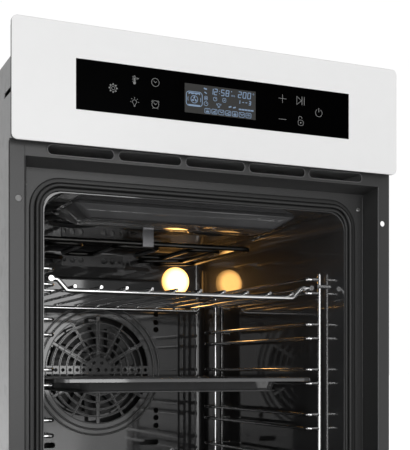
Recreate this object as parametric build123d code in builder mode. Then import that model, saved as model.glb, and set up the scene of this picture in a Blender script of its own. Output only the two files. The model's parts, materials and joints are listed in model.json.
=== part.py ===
"""Slim built-in wall oven, 448 mm wide and 595 mm high, with its door open.

Frame: X runs across the oven, Y runs back into the niche, Z is up. The origin is the
middle of the niche's front edge: Y = 0 is the furniture's front plane, which the side
flanges touch, and Z = 0 is the underside of the base plate.
"""

import os
from math import asin, cos, degrees, radians, sin

from build123d import *

os.makedirs("parts", exist_ok=True)

# ---------------------------------------------------------------- driving dimensions
FRONT_W = 448.0
FRONT_H = 595.0
PANEL_H = 121.6
PANEL_R = 6.0
GLASS = 4.0
GLASS_FRONT = -15.0
SHEET = 1.2

CASE_HALF = 211.0
CASE_TOP = 574.2
CASE_REAR = 530.0

FLANGE_OUT = 223.0
FLANGE_IN = 207.8
FLANGE_LOW = 27.0
FLANGE_HOLE_X = 214.0
FLANGE_HOLE_R = 3.2
FLANGE_HOLES_Z = (118.3, 418.3)

VENT_LOW = 461.0
VENT_HIGH = 477.0
RECESS_Y = 31.0
RECESS_TOP = 456.8
RECESS_LOW = 14.0

CAVITY_HALF = 180.5
CAVITY_LOW = 62.0
CAVITY_HIGH = 432.4
CAVITY_BACK = 450.0
CAVITY_R = 22.0
LIP_OUT = 186.3
GASKET_OUT = 195.7
GASKET_W = 8.4
GASKET_R = 33.0

HUB_Z = 247.4
BAFFLE_Y = 420.0
LAMP_X = 134.5
LAMP_Z = 385.0

RAIL_X = 158.0
ROD_X = 175.5
RACK_FRONT = 78.0
RACK_BACK = 388.0
WIRE_R = 2.2
LEVELS = 5
LEVEL_STEP = 55.0
TOP_RAIL_Z = 358.0
RAIL_PAIR = 17.0

DOOR_TOP = 466.0
DOOR_BOTTOM = 8.0
BOX_TOP = 454.0
BOX_BOTTOM = 14.0
BOX_HALF = 204.0
DOOR_INNER = 25.0
HINGE_Y = -7.0
HINGE_Z = 24.0
HINGE_X = 188.0
HINGE_PIN_R = 2.5
RUNNING_GAP = 0.06

PANEL_LOW = FRONT_H - PANEL_H
CAVITY_MID = (CAVITY_LOW + CAVITY_HIGH) / 2
CAVITY_H = CAVITY_HIGH - CAVITY_LOW
SIDES = (("left", -1), ("right", 1))


# ---------------------------------------------------------------- helpers
def facing(y):
    """A sketch plane at depth y with X to the right and Z up; it extrudes towards the back."""
    return Plane(origin=(0, y, 0), x_dir=(1, 0, 0), z_dir=(0, -1, 0))


def save(builder, name):
    """Label one finished piece and write it."""
    builder.part.label = name
    export_step(builder.part, f"parts/{name}.step")


def save_door(builder, name):
    """Write a piece of the door, turned from closed to open about the hinge line."""
    axis = Axis((0, HINGE_Y, HINGE_Z), (1, 0, 0))
    turned = builder.part.rotate(axis, 90)
    turned.label = name
    export_step(turned, f"parts/{name}.step")


def back_by(depth):
    """Extrusion amount that runs back into the oven from a facing() plane."""
    return -depth


# ---------------------------------------------------------------- control panel
WINDOW_HALF = 159.3
WINDOW_LOW = 508.8
WINDOW_H = 51.2
LCD_HALF = 41.6
LCD_LOW = 518.4
LCD_H = 30.7
WINDOW_MID = WINDOW_LOW + WINDOW_H / 2
LCD_MID = LCD_LOW + LCD_H / 2
PANEL_MID = PANEL_LOW + PANEL_H / 2
CARRIER_MARGIN = 2.0
CARRIER_WALL = 2.5

with BuildPart() as control_glass:
    with BuildSketch(facing(GLASS_FRONT)):
        with Locations((0, PANEL_MID)):
            RectangleRounded(FRONT_W, PANEL_H, PANEL_R)
        with Locations((0, WINDOW_MID)):
            Rectangle(2 * WINDOW_HALF, WINDOW_H, mode=Mode.SUBTRACT)
    extrude(amount=back_by(GLASS))
    rim = control_glass.faces().sort_by(Axis.Y)[0].outer_wire().edges()
    chamfer(rim, 0.6)
save(control_glass, "control_glass")

with BuildPart() as display_window:
    with BuildSketch(facing(GLASS_FRONT + 0.2)):
        with Locations((0, WINDOW_MID)):
            Rectangle(2 * WINDOW_HALF, WINDOW_H)
        with Locations((0, LCD_MID)):
            Rectangle(2 * LCD_HALF, LCD_H, mode=Mode.SUBTRACT)
    extrude(amount=back_by(GLASS - 0.2))
save(display_window, "display_window")

with BuildPart() as lcd_screen:
    with BuildSketch(facing(GLASS_FRONT + 0.3)):
        with Locations((0, LCD_MID)):
            Rectangle(2 * LCD_HALF, LCD_H)
    extrude(amount=back_by(GLASS - 0.3))
save(lcd_screen, "lcd_screen")

with BuildPart() as panel_carrier:
    carrier_w = FRONT_W - 2 * CARRIER_MARGIN
    carrier_h = PANEL_H - 2 * CARRIER_MARGIN
    with BuildSketch(facing(GLASS_FRONT + GLASS)):
        with Locations((0, PANEL_MID)):
            RectangleRounded(carrier_w, carrier_h, PANEL_R - 1)
            Rectangle(carrier_w - 24, carrier_h - 24, mode=Mode.SUBTRACT)
    extrude(amount=back_by(2.0))
    with BuildSketch(facing(GLASS_FRONT + GLASS + 2.0)):
        with Locations((0, PANEL_MID)):
            RectangleRounded(carrier_w, carrier_h, PANEL_R - 1)
            Rectangle(
                carrier_w - 2 * CARRIER_WALL,
                carrier_h - 2 * CARRIER_WALL,
                mode=Mode.SUBTRACT,
            )
    extrude(amount=back_by(7.8))
save(panel_carrier, "panel_carrier")

with BuildPart() as control_board:
    with BuildSketch(facing(-8.5)):
        with Locations((0, WINDOW_MID)):
            Rectangle(330, 74)
            with GridLocations(318, 62, 2, 2):
                Circle(1.6, mode=Mode.SUBTRACT)
    extrude(amount=back_by(1.6))
save(control_board, "control_board")

with BuildPart() as lcd_module:
    with BuildSketch(facing(GLASS_FRONT + GLASS)):
        with Locations((0, LCD_MID)):
            Rectangle(94, 38)
    extrude(amount=back_by(2.5))
save(lcd_module, "lcd_module")

with BuildPart() as touch_springs:
    with BuildSketch(facing(GLASS_FRONT + GLASS)):
        for x, z in (
            (-120.8, 534.3),
            (-97.7, 545.4),
            (-97.7, 522.8),
            (-74.6, 545.4),
            (-74.6, 522.8),
            (74.4, 545.4),
            (74.4, 522.8),
            (97.0, 545.9),
            (97.0, 522.7),
            (119.8, 534.5),
        ):
            with Locations((x, z)):
                Circle(5)
                Circle(3.8, mode=Mode.SUBTRACT)
    extrude(amount=back_by(2.5))
save(touch_springs, "touch_springs")

# ---------------------------------------------------------------- front structure
for side, s in SIDES:
    with BuildPart() as flange:
        with BuildSketch(facing(-SHEET)):
            mid_x = s * (FLANGE_OUT + FLANGE_IN) / 2
            with Locations((mid_x, (FLANGE_LOW + VENT_HIGH) / 2)):
                Rectangle(FLANGE_OUT - FLANGE_IN, VENT_HIGH - FLANGE_LOW)
            for z in FLANGE_HOLES_Z:
                with Locations((s * FLANGE_HOLE_X, z)):
                    Circle(FLANGE_HOLE_R, mode=Mode.SUBTRACT)
        extrude(amount=back_by(SHEET))
    save(flange, f"flange_{side}")

SLOT_PITCH = 75.0
SLOT_L = 69.0
SLOT_H = 9.5
SLOT_Z = 469.3
SLOTS = 5

with BuildPart() as vent_plate:
    with BuildSketch(facing(-SHEET)):
        with Locations((0, (VENT_LOW + VENT_HIGH) / 2)):
            Rectangle(2 * FLANGE_IN, VENT_HIGH - VENT_LOW)
        with Locations((0, SLOT_Z)):
            with GridLocations(SLOT_PITCH, 0, SLOTS, 1):
                SlotOverall(SLOT_L, SLOT_H, mode=Mode.SUBTRACT)
    extrude(amount=back_by(SHEET))
    with BuildSketch(Plane.YZ.offset(-FLANGE_IN)):
        Polygon(
            (-SHEET, VENT_LOW),
            (0, VENT_LOW),
            (RECESS_Y, RECESS_TOP),
            (RECESS_Y, RECESS_TOP + SHEET),
            (0, VENT_LOW + SHEET),
            (-SHEET, VENT_LOW + SHEET),
            align=None,
        )
    extrude(amount=2 * FLANGE_IN)
save(vent_plate, "vent_plate")

with BuildPart() as front_frame:
    with BuildSketch(facing(RECESS_Y)):
        with Locations((0, (RECESS_LOW + RECESS_TOP) / 2)):
            Rectangle(2 * FLANGE_IN, RECESS_TOP - RECESS_LOW)
        with Locations((0, CAVITY_MID)):
            RectangleRounded(
                2 * LIP_OUT, CAVITY_H + 2 * (LIP_OUT - CAVITY_HALF), 28, mode=Mode.SUBTRACT
            )
        for s in (-1, 1):
            with Locations((s * HINGE_X, HINGE_Z)):
                Rectangle(9, 17, mode=Mode.SUBTRACT)
    extrude(amount=back_by(SHEET))
    for s in (-1, 1):
        with Locations((s * (FLANGE_IN + SHEET / 2), RECESS_Y / 2, (FLANGE_LOW + VENT_LOW) / 2)):
            Box(SHEET, RECESS_Y, VENT_LOW - FLANGE_LOW)
        with Locations(
            (s * (FLANGE_IN + SHEET / 2), RECESS_Y + SHEET / 2, (FLANGE_LOW + VENT_LOW) / 2)
        ):
            Box(SHEET, SHEET, VENT_LOW - FLANGE_LOW)
save(front_frame, "front_frame")

with BuildPart() as door_gasket:
    gasket_h = CAVITY_H + 2 * (GASKET_OUT - CAVITY_HALF)
    with BuildSketch(facing(DOOR_INNER + 0.4)):
        with Locations((0, CAVITY_MID)):
            RectangleRounded(2 * GASKET_OUT, gasket_h, GASKET_R)
            RectangleRounded(
                2 * (GASKET_OUT - GASKET_W),
                gasket_h - 2 * GASKET_W,
                GASKET_R - GASKET_W,
                mode=Mode.SUBTRACT,
            )
    extrude(amount=back_by(RECESS_Y - DOOR_INNER - 0.4))
    front = door_gasket.faces().sort_by(Axis.Y)[0].edges()
    fillet(front, 2.4)
save(door_gasket, "door_gasket")

# ---------------------------------------------------------------- cavity
BULGE_FRONT = 65.0
BULGE_LOW_FRONT = 85.0
BULGE_LOW_BACK = 140.0
BULGE_BACK = 165.0
BULGE_HALF = 140.0
BULGE_LOW_HALF = 115.0
BULGE_DROP = 16.0
TUBE_R = 3.25
GRILL_Z = 409.0
RING_LEG_X = 14.6
RING_R = 84.0
RING_LEG_Z = HUB_Z - RING_R * cos(asin(RING_LEG_X / RING_R))
ELEMENT_HOLES = (
    (-97, GRILL_Z),
    (97, GRILL_Z),
    (-RING_LEG_X, RING_LEG_Z),
    (RING_LEG_X, RING_LEG_Z),
)

with BuildPart() as cavity:
    with BuildSketch(facing(RECESS_Y)):
        with Locations((0, CAVITY_MID)):
            RectangleRounded(2 * CAVITY_HALF + 3, CAVITY_H + 3, CAVITY_R + 1.5)
    extrude(amount=back_by(CAVITY_BACK + 1.5 - RECESS_Y))
    rear_edges = cavity.faces().sort_by(Axis.Y)[-1].outer_wire().edges()
    fillet(rear_edges, 14)
    with BuildSketch(facing(RECESS_Y)):
        with Locations((0, CAVITY_MID)):
            RectangleRounded(2 * CAVITY_HALF, CAVITY_H, CAVITY_R)
    inside = extrude(amount=back_by(CAVITY_BACK - RECESS_Y), mode=Mode.PRIVATE)
    inner_rear = inside.faces().sort_by(Axis.Y)[-1].outer_wire().edges()
    add(inside.fillet(12.5, inner_rear), mode=Mode.SUBTRACT)
    with BuildSketch(facing(RECESS_Y - 1.5)):
        with Locations((0, CAVITY_MID)):
            RectangleRounded(2 * CAVITY_HALF + 3, CAVITY_H + 3, CAVITY_R + 1.5)
            RectangleRounded(2 * CAVITY_HALF, CAVITY_H, CAVITY_R, mode=Mode.SUBTRACT)
    extrude(amount=back_by(1.5))
    with BuildSketch(facing(RECESS_Y)):
        with Locations((0, CAVITY_MID)):
            RectangleRounded(2 * LIP_OUT, CAVITY_H + 2 * (LIP_OUT - CAVITY_HALF), 28)
            RectangleRounded(2 * CAVITY_HALF, CAVITY_H, CAVITY_R, mode=Mode.SUBTRACT)
    extrude(amount=back_by(SHEET))
    with BuildSketch(Plane.XY.offset(CAVITY_HIGH)):
        with Locations((0, (BULGE_FRONT + BULGE_BACK) / 2)):
            RectangleRounded(2 * BULGE_HALF, BULGE_BACK - BULGE_FRONT, 8)
    with BuildSketch(Plane.XY.offset(CAVITY_HIGH - BULGE_DROP)):
        with Locations((0, (BULGE_LOW_FRONT + BULGE_LOW_BACK) / 2)):
            RectangleRounded(2 * BULGE_LOW_HALF, BULGE_LOW_BACK - BULGE_LOW_FRONT, 6)
    loft()
    for x, z, r in ((0, HUB_Z, 6.0), (LAMP_X, LAMP_Z, 17.0), (-120, 400, 2.0)):
        with Locations(Location((x, CAVITY_BACK, z), (90, 0, 0))):
            Cylinder(r, 8, mode=Mode.SUBTRACT)
    for x, z in ELEMENT_HOLES:
        with Locations(Location((x, CAVITY_BACK, z), (90, 0, 0))):
            Cylinder(TUBE_R + 0.1, 8, mode=Mode.SUBTRACT)
save(cavity, "cavity")

STEAM_VENT_Z = 411.0

with BuildPart() as steam_vent:
    with BuildSketch(facing(CAVITY_BACK - 2.5)):
        with Locations((0, STEAM_VENT_Z)):
            RectangleRounded(95.2, 16.4, 2)
        for x in (-43.5, -31, -18, 18, 31, 43.5):
            with Locations((x, STEAM_VENT_Z)):
                Circle(2.6 if abs(x) > 40 else 4, mode=Mode.SUBTRACT)
    extrude(amount=back_by(2.5))
save(steam_vent, "steam_vent")

# ---------------------------------------------------------------- fan baffle
BAFFLE_HALF = 131.6
BAFFLE_LOW = 112.0
BAFFLE_HIGH = 384.0
RING_RADII = (21.8, 31.6, 42.3, 53.0, 63.7, 74.4)
RIM_Y = 1.4
LAMP_CLEAR = 38.0


def web_width(angle):
    """Width of the solid web that runs out from the hub at one angle."""
    if angle % 180 == 0:
        return 12.0
    return 6.0 if angle % 60 == 30 else 3.2


with BuildPart() as fan_baffle:
    baffle_mid = (BAFFLE_LOW + BAFFLE_HIGH) / 2
    with BuildSketch(facing(BAFFLE_Y)):
        with Locations((0, baffle_mid)):
            RectangleRounded(2 * BAFFLE_HALF, BAFFLE_HIGH - BAFFLE_LOW, 12)
    extrude(amount=back_by(CAVITY_BACK - BAFFLE_Y))
    baffle_rim = fan_baffle.faces().sort_by(Axis.Y)[0].outer_wire().edges()
    fillet(baffle_rim, 5)
    with BuildSketch(facing(BAFFLE_Y + SHEET)):
        with Locations((0, baffle_mid)):
            RectangleRounded(
                2 * (BAFFLE_HALF - SHEET), BAFFLE_HIGH - BAFFLE_LOW - 2 * SHEET, 11
            )
    hollow = extrude(amount=back_by(CAVITY_BACK - BAFFLE_Y), mode=Mode.PRIVATE)
    hollow_rim = hollow.faces().sort_by(Axis.Y)[0].outer_wire().edges()
    add(hollow.fillet(4, hollow_rim), mode=Mode.SUBTRACT)
    for inner, outer in ((85.5, 89.5), (93.5, 97.5)):
        with BuildSketch(facing(BAFFLE_Y - RIM_Y)):
            with Locations((0, HUB_Z)):
                Circle(outer)
                Circle(inner, mode=Mode.SUBTRACT)
        extrude(amount=back_by(RIM_Y + 0.2))
    with BuildSketch(facing(BAFFLE_Y - 3)):
        for radius in reversed(RING_RADII):
            half = 2.9 if radius < 30 else 3.9
            with Locations((0, HUB_Z)):
                Circle(radius + half)
                Circle(radius - half, mode=Mode.SUBTRACT)
        for k in range(12):
            a = radians(30 * k)
            with Locations(Location((48 * cos(a), HUB_Z + 48 * sin(a), 0), (0, 0, 30 * k))):
                Rectangle(68, web_width(30 * k), mode=Mode.SUBTRACT)
        for radius in RING_RADII:
            for x in (-radius, radius):
                with Locations((x, HUB_Z)):
                    Circle(2.6)
        with Locations((0, HUB_Z)):
            Circle(3.2)
            with PolarLocations(12, 6):
                Circle(2.4)
        for x in (-91.4, 91.4):
            for dz in (-84, -72, -61, 61, 72, 84):
                with Locations((x, HUB_Z + dz)):
                    Circle(4.2)
        for x in (-80, 80):
            with Locations((x, 138.5)):
                SlotOverall(31, 8)
    extrude(amount=back_by(6), mode=Mode.SUBTRACT)
    with Locations(Location((LAMP_X, BAFFLE_Y + 15, LAMP_Z), (90, 0, 0))):
        Cylinder(LAMP_CLEAR, 50, mode=Mode.SUBTRACT)
save(fan_baffle, "fan_baffle")

with BuildPart() as baffle_screws:
    for x, z in ((-118, 125), (118, 125), (-118, 371), (84, 366)):
        with Locations(Location((x, BAFFLE_Y, z), (90, 0, 0))):
            Cylinder(4.2, 2.0, align=(Align.CENTER, Align.CENTER, Align.MIN))
save(baffle_screws, "baffle_screws")

FAN_R = 68.0
BLADES = 16

with BuildPart() as convection_fan:
    with BuildSketch(facing(443)):
        with Locations((0, HUB_Z)):
            Circle(FAN_R)
            Circle(4.0, mode=Mode.SUBTRACT)
    extrude(amount=back_by(1.2))
    with BuildSketch(facing(428)):
        for k in range(BLADES):
            a = radians(360 / BLADES * k)
            with Locations(
                Location((46 * cos(a), HUB_Z + 46 * sin(a), 0), (0, 0, 360 / BLADES * k + 24))
            ):
                Rectangle(38, 1.4)
    extrude(amount=back_by(15.4))
    with BuildSketch(facing(432)):
        with Locations((0, HUB_Z)):
            Circle(9)
            Circle(4.0, mode=Mode.SUBTRACT)
    extrude(amount=back_by(11.4))
save(convection_fan, "convection_fan")

with BuildPart() as fan_shaft:
    with Locations(Location((0, 431, HUB_Z), (-90, 0, 0))):
        Cylinder(4.0, 59, align=(Align.CENTER, Align.CENTER, Align.MIN))
    with Locations(Location((0, 427.2, HUB_Z), (-90, 0, 0))):
        Cylinder(6.5, 4.8, align=(Align.CENTER, Align.CENTER, Align.MIN))
save(fan_shaft, "fan_shaft")

with BuildPart() as fan_motor:
    with BuildSketch(facing(470)):
        with Locations((0, HUB_Z)):
            RectangleRounded(90, 90, 10)
            Circle(4.0 + RUNNING_GAP, mode=Mode.SUBTRACT)
            with GridLocations(74, 74, 2, 2):
                Circle(2.5, mode=Mode.SUBTRACT)
    extrude(amount=back_by(2))
    with BuildSketch(facing(472)):
        with Locations((0, HUB_Z)):
            Circle(32)
            Circle(4.0 + RUNNING_GAP, mode=Mode.SUBTRACT)
    extrude(amount=back_by(20))
    with BuildSketch(facing(492)):
        with Locations((0, HUB_Z)):
            Circle(32)
    extrude(amount=back_by(22))
save(fan_motor, "fan_motor")

# ---------------------------------------------------------------- heating elements
GRILL_FRONT = 213.0
ELEMENT_END = 468.0

RING_Y = 436.0

with BuildPart() as ring_element:
    gap = degrees(asin(RING_LEG_X / RING_R))
    start_angle = radians(-90 + gap)
    ring_start = (RING_R * cos(start_angle), RING_Y, HUB_Z + RING_R * sin(start_angle))
    with BuildLine(facing(RING_Y)):
        CenterArc((0, HUB_Z), RING_R, -90 + gap, 360 - 2 * gap)
    with BuildSketch(Plane(ring_start, z_dir=(-sin(start_angle), 0, cos(start_angle)))):
        Circle(TUBE_R)
    sweep()
    for s in (-1, 1):
        with Locations((s * RING_LEG_X, RING_Y, RING_LEG_Z)):
            Sphere(TUBE_R + 0.3)
        with Locations(Location((s * RING_LEG_X, RING_Y, RING_LEG_Z), (-90, 0, 0))):
            Cylinder(TUBE_R, 32, align=(Align.CENTER, Align.CENTER, Align.MIN))
save(ring_element, "ring_element")

with BuildPart() as grill_element:
    with BuildLine():
        FilletPolyline(
            (-97, ELEMENT_END, GRILL_Z),
            (-97, 430, GRILL_Z),
            (-148, 400, GRILL_Z),
            (-148, GRILL_FRONT, GRILL_Z),
            (148, GRILL_FRONT, GRILL_Z),
            (148, 400, GRILL_Z),
            (97, 430, GRILL_Z),
            (97, ELEMENT_END, GRILL_Z),
            radius=13,
        )
    with BuildSketch(Plane((-97, ELEMENT_END, GRILL_Z), z_dir=(0, -1, 0))):
        Circle(TUBE_R)
    sweep()
save(grill_element, "grill_element")

with BuildPart() as grill_inner_element:
    with BuildLine():
        FilletPolyline(
            (-60, 440, GRILL_Z),
            (-60, 400, GRILL_Z),
            (-118, 380, GRILL_Z),
            (-118, 245, GRILL_Z),
            (-75, 245, GRILL_Z),
            (-75, 350, GRILL_Z),
            (-30, 350, GRILL_Z),
            (-30, 245, GRILL_Z),
            (30, 245, GRILL_Z),
            (30, 350, GRILL_Z),
            (75, 350, GRILL_Z),
            (75, 245, GRILL_Z),
            (118, 245, GRILL_Z),
            (118, 380, GRILL_Z),
            (60, 400, GRILL_Z),
            (60, 440, GRILL_Z),
            radius=13,
        )
    with BuildSketch(Plane((-60, 440, GRILL_Z), z_dir=(0, -1, 0))):
        Circle(TUBE_R)
    sweep()
save(grill_inner_element, "grill_inner_element")

with BuildPart() as grill_bracket:
    with BuildSketch(Plane.YZ.offset(-7.35)):
        Polygon(
            (GRILL_FRONT - 6, GRILL_Z - TUBE_R),
            (GRILL_FRONT - 4.8, GRILL_Z - TUBE_R),
            (GRILL_FRONT - 4.8, CAVITY_HIGH - 1.2),
            (GRILL_FRONT + 14, CAVITY_HIGH - 1.2),
            (GRILL_FRONT + 14, CAVITY_HIGH),
            (GRILL_FRONT - 6, CAVITY_HIGH),
            align=None,
        )
    extrude(amount=14.7)
    with Locations((0, GRILL_FRONT - 1, GRILL_Z - TUBE_R - 0.6)):
        Box(14.7, 10, 1.2)
save(grill_bracket, "grill_bracket")

BOTTOM_ELEMENT_Z = 55.5

with BuildPart() as bottom_element:
    with BuildLine():
        FilletPolyline(
            (-60, ELEMENT_END + 10, BOTTOM_ELEMENT_Z),
            (-60, 400, BOTTOM_ELEMENT_Z),
            (-140, 400, BOTTOM_ELEMENT_Z),
            (-140, 90, BOTTOM_ELEMENT_Z),
            (140, 90, BOTTOM_ELEMENT_Z),
            (140, 400, BOTTOM_ELEMENT_Z),
            (60, 400, BOTTOM_ELEMENT_Z),
            (60, ELEMENT_END + 10, BOTTOM_ELEMENT_Z),
            radius=14,
        )
    with BuildSketch(Plane((-60, ELEMENT_END + 10, BOTTOM_ELEMENT_Z), z_dir=(0, -1, 0))):
        Circle(TUBE_R)
    sweep()
save(bottom_element, "bottom_element")

# ---------------------------------------------------------------- lamp and sensors
with BuildPart() as lamp_glass:
    with Locations(Location((LAMP_X, CAVITY_BACK, LAMP_Z), (90, 0, 0))):
        Cylinder(22, 8, align=(Align.CENTER, Align.CENTER, Align.MIN))
    dome = lamp_glass.faces().sort_by(Axis.Y)[0].edges()
    fillet(dome, 5)
    with Locations(Location((LAMP_X, CAVITY_BACK, LAMP_Z), (90, 0, 0))):
        Cylinder(14, 5, align=(Align.CENTER, Align.CENTER, Align.MIN), mode=Mode.SUBTRACT)
save(lamp_glass, "lamp_glass")

with BuildPart() as lamp_holder:
    with Locations(Location((LAMP_X, CAVITY_BACK + 1.5, LAMP_Z), (-90, 0, 0))):
        Cylinder(16.6, 34, align=(Align.CENTER, Align.CENTER, Align.MIN))
        Cylinder(15, 28, align=(Align.CENTER, Align.CENTER, Align.MIN), mode=Mode.SUBTRACT)
save(lamp_holder, "lamp_holder")

with BuildPart() as lamp_bulb:
    with Locations(Location((LAMP_X, CAVITY_BACK + 29.5, LAMP_Z), (90, 0, 0))):
        Cylinder(6, 12, align=(Align.CENTER, Align.CENTER, Align.MIN))
    with Locations((LAMP_X, CAVITY_BACK + 12, LAMP_Z)):
        Sphere(11)
save(lamp_bulb, "lamp_bulb")

with BuildPart() as temperature_probe:
    with Locations(Location((-120, CAVITY_BACK - 45, 400), (-90, 0, 0))):
        Cylinder(1.9, 62, align=(Align.CENTER, Align.CENTER, Align.MIN))
save(temperature_probe, "temperature_probe")

# ---------------------------------------------------------------- side racks
ROD_LOW = 96.0
ROD_HIGH = 364.0

for side, s in SIDES:
    with BuildPart() as rack:
        for y in (RACK_FRONT, RACK_BACK):
            with Locations((s * ROD_X, y, (ROD_LOW + ROD_HIGH) / 2)):
                Cylinder(WIRE_R + 0.3, ROD_HIGH - ROD_LOW)
        for y in (RACK_FRONT, RACK_BACK):
            for z in (ROD_LOW, ROD_HIGH):
                with Locations((s * ROD_X, y, z)):
                    Sphere(WIRE_R + 0.3)
        for level in range(LEVELS):
            for drop in (0, RAIL_PAIR):
                z = TOP_RAIL_Z - level * LEVEL_STEP - drop
                with BuildLine():
                    FilletPolyline(
                        (s * ROD_X, RACK_FRONT, z),
                        (s * RAIL_X, RACK_FRONT, z),
                        (s * RAIL_X, RACK_BACK, z),
                        (s * ROD_X, RACK_BACK, z),
                        radius=6,
                    )
                start = Plane((s * ROD_X, RACK_FRONT, z), z_dir=(-s, 0, 0))
                with BuildSketch(start):
                    Circle(WIRE_R)
                sweep()
    save(rack, f"side_rack_{side}")

with BuildPart() as rack_pins:
    for _, s in SIDES:
        for y in (RACK_FRONT, RACK_BACK):
            for z in (ROD_LOW + 14, ROD_HIGH - 14.5):
                with Locations(Location((s * CAVITY_HALF, y, z), (0, -90 * s, 0))):
                    Cylinder(3.2, 9.5, align=(Align.CENTER, Align.CENTER, Align.MIN))
            with Locations((s * ROD_X, y, (ROD_LOW + ROD_HIGH) / 2)):
                Cylinder(WIRE_R + 0.3, ROD_HIGH - ROD_LOW, mode=Mode.SUBTRACT)
save(rack_pins, "rack_pins")

# ---------------------------------------------------------------- wire shelf
SHELF_Z = TOP_RAIL_Z - RAIL_PAIR + 6.2
SHELF_HALF = 161.5
SHELF_R = 3.0
SHELF_FRONT = 72.0
SHELF_BACK = 384.0
SHELF_DROP = 12.0
GRID_R = 1.7
GRID_PITCH = 30.0
GRID_WIRES = 10
CROSS_WIRE_Y = 175.0

with BuildPart() as wire_shelf:
    for s in (-1, 1):
        middle = (s * SHELF_HALF, (SHELF_FRONT + SHELF_BACK) / 2, SHELF_Z)
        with Locations(Location(middle, (90, 0, 0))):
            Cylinder(SHELF_R, SHELF_BACK - SHELF_FRONT)
    for y in (SHELF_FRONT + 10, SHELF_BACK - 4):
        with BuildLine():
            FilletPolyline(
                (-SHELF_HALF, y, SHELF_Z),
                (-152, y, SHELF_Z),
                (-141, y, SHELF_Z - SHELF_DROP),
                (141, y, SHELF_Z - SHELF_DROP),
                (152, y, SHELF_Z),
                (SHELF_HALF, y, SHELF_Z),
                radius=5,
            )
        with BuildSketch(Plane((-SHELF_HALF, y, SHELF_Z), z_dir=(1, 0, 0))):
            Circle(SHELF_R - 0.2)
        sweep()
    grid_z = SHELF_Z - SHELF_DROP + SHELF_R + GRID_R - 0.6
    grid_mid = (SHELF_FRONT + SHELF_BACK) / 2
    with Locations((0, grid_mid, grid_z)):
        with GridLocations(GRID_PITCH, 0, GRID_WIRES, 1):
            Cylinder(GRID_R, SHELF_BACK - SHELF_FRONT, rotation=(90, 0, 0))
    with Locations(Location((0, CROSS_WIRE_Y, grid_z + 2 * GRID_R - 0.4), (0, 90, 0))):
        Cylinder(GRID_R, 292)
save(wire_shelf, "wire_shelf")

# ---------------------------------------------------------------- baking tray
TRAY_RIM_Z = 238.5
TRAY_HALF = 160.0
TRAY_FRONT = 60.0
TRAY_BACK = 384.0
TRAY_WALL = 1.0
TRAY_FLOOR = 222.0
TRAY_BODY_HALF = 124.5
TRAY_BODY_FRONT = 83.0
TRAY_BODY_BACK = 362.0

with BuildPart() as baking_tray:
    tray_y = (TRAY_FRONT + TRAY_BACK) / 2
    body_y = (TRAY_BODY_FRONT + TRAY_BODY_BACK) / 2
    body_l = TRAY_BODY_BACK - TRAY_BODY_FRONT
    flange_z = TRAY_RIM_Z - 4.5
    with BuildSketch(Plane.XY.offset(flange_z)):
        with Locations((0, tray_y)):
            RectangleRounded(2 * TRAY_HALF, TRAY_BACK - TRAY_FRONT, 18)
    extrude(amount=TRAY_WALL)
    with BuildSketch(Plane.XY.offset(TRAY_FLOOR)):
        with Locations((0, body_y)):
            RectangleRounded(2 * TRAY_BODY_HALF - 12, body_l - 12, 12)
    with BuildSketch(Plane.XY.offset(flange_z)):
        with Locations((0, body_y)):
            RectangleRounded(2 * TRAY_BODY_HALF, body_l, 16)
    loft()
    with BuildSketch(Plane.XY.offset(TRAY_FLOOR + TRAY_WALL)):
        with Locations((0, body_y)):
            RectangleRounded(2 * TRAY_BODY_HALF - 14, body_l - 14, 11)
    with BuildSketch(Plane.XY.offset(flange_z + TRAY_WALL)):
        with Locations((0, body_y)):
            RectangleRounded(2 * TRAY_BODY_HALF - 2, body_l - 2, 15)
    loft(mode=Mode.SUBTRACT)
    with BuildSketch(Plane.XY.offset(flange_z + TRAY_WALL)):
        with Locations((0, tray_y)):
            RectangleRounded(2 * TRAY_HALF, TRAY_BACK - TRAY_FRONT, 18)
            RectangleRounded(
                2 * TRAY_HALF - 5, TRAY_BACK - TRAY_FRONT - 5, 15.5, mode=Mode.SUBTRACT
            )
    extrude(amount=3.5)
    top_edges = baking_tray.faces().sort_by(Axis.Z)[-1].edges()
    fillet(top_edges, 1.1)
save(baking_tray, "baking_tray")

# ---------------------------------------------------------------- casing
for side, s in SIDES:
    with BuildPart() as panel:
        with BuildSketch(Plane.YZ.offset(s * CASE_HALF)):
            Polygon(
                (0, 24),
                (12, 24),
                (12, SHEET),
                (CASE_REAR, SHEET),
                (CASE_REAR, CASE_TOP - SHEET),
                (0, CASE_TOP - SHEET),
                align=None,
            )
            with Locations((60, 540)):
                SlotOverall(42, 6, mode=Mode.SUBTRACT)
        extrude(amount=-s * SHEET)
    save(panel, f"side_panel_{side}")

with BuildPart() as top_cover:
    with Locations((0, CASE_REAR / 2, CASE_TOP - SHEET / 2)):
        Box(2 * CASE_HALF, CASE_REAR, SHEET)
    with BuildSketch(Plane.XY.offset(CASE_TOP)):
        with Locations((0, 420)):
            with GridLocations(22, 0, 9, 1):
                SlotOverall(60, 7, rotation=90)
    extrude(amount=-2 * SHEET, mode=Mode.SUBTRACT)
save(top_cover, "top_cover")

with BuildPart() as base_plate:
    with Locations((0, CASE_REAR / 2, SHEET / 2)):
        Box(2 * CASE_HALF, CASE_REAR, SHEET)
save(base_plate, "base_plate")

INLET_X = -150.0
INLET_Z = 500.0
INLET_R = 9.0

with BuildPart() as rear_panel:
    with BuildSketch(facing(CASE_REAR)):
        with Locations((0, CASE_TOP / 2)):
            Rectangle(2 * CASE_HALF, CASE_TOP)
        with Locations((INLET_X, INLET_Z)):
            Circle(INLET_R, mode=Mode.SUBTRACT)
        with Locations((60, 520)):
            with GridLocations(16, 0, 10, 1):
                SlotOverall(44, 6, rotation=90, mode=Mode.SUBTRACT)
        with Locations((60, 60)):
            with GridLocations(16, 0, 10, 1):
                SlotOverall(44, 6, rotation=90, mode=Mode.SUBTRACT)
    extrude(amount=back_by(SHEET))
save(rear_panel, "rear_panel")

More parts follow.
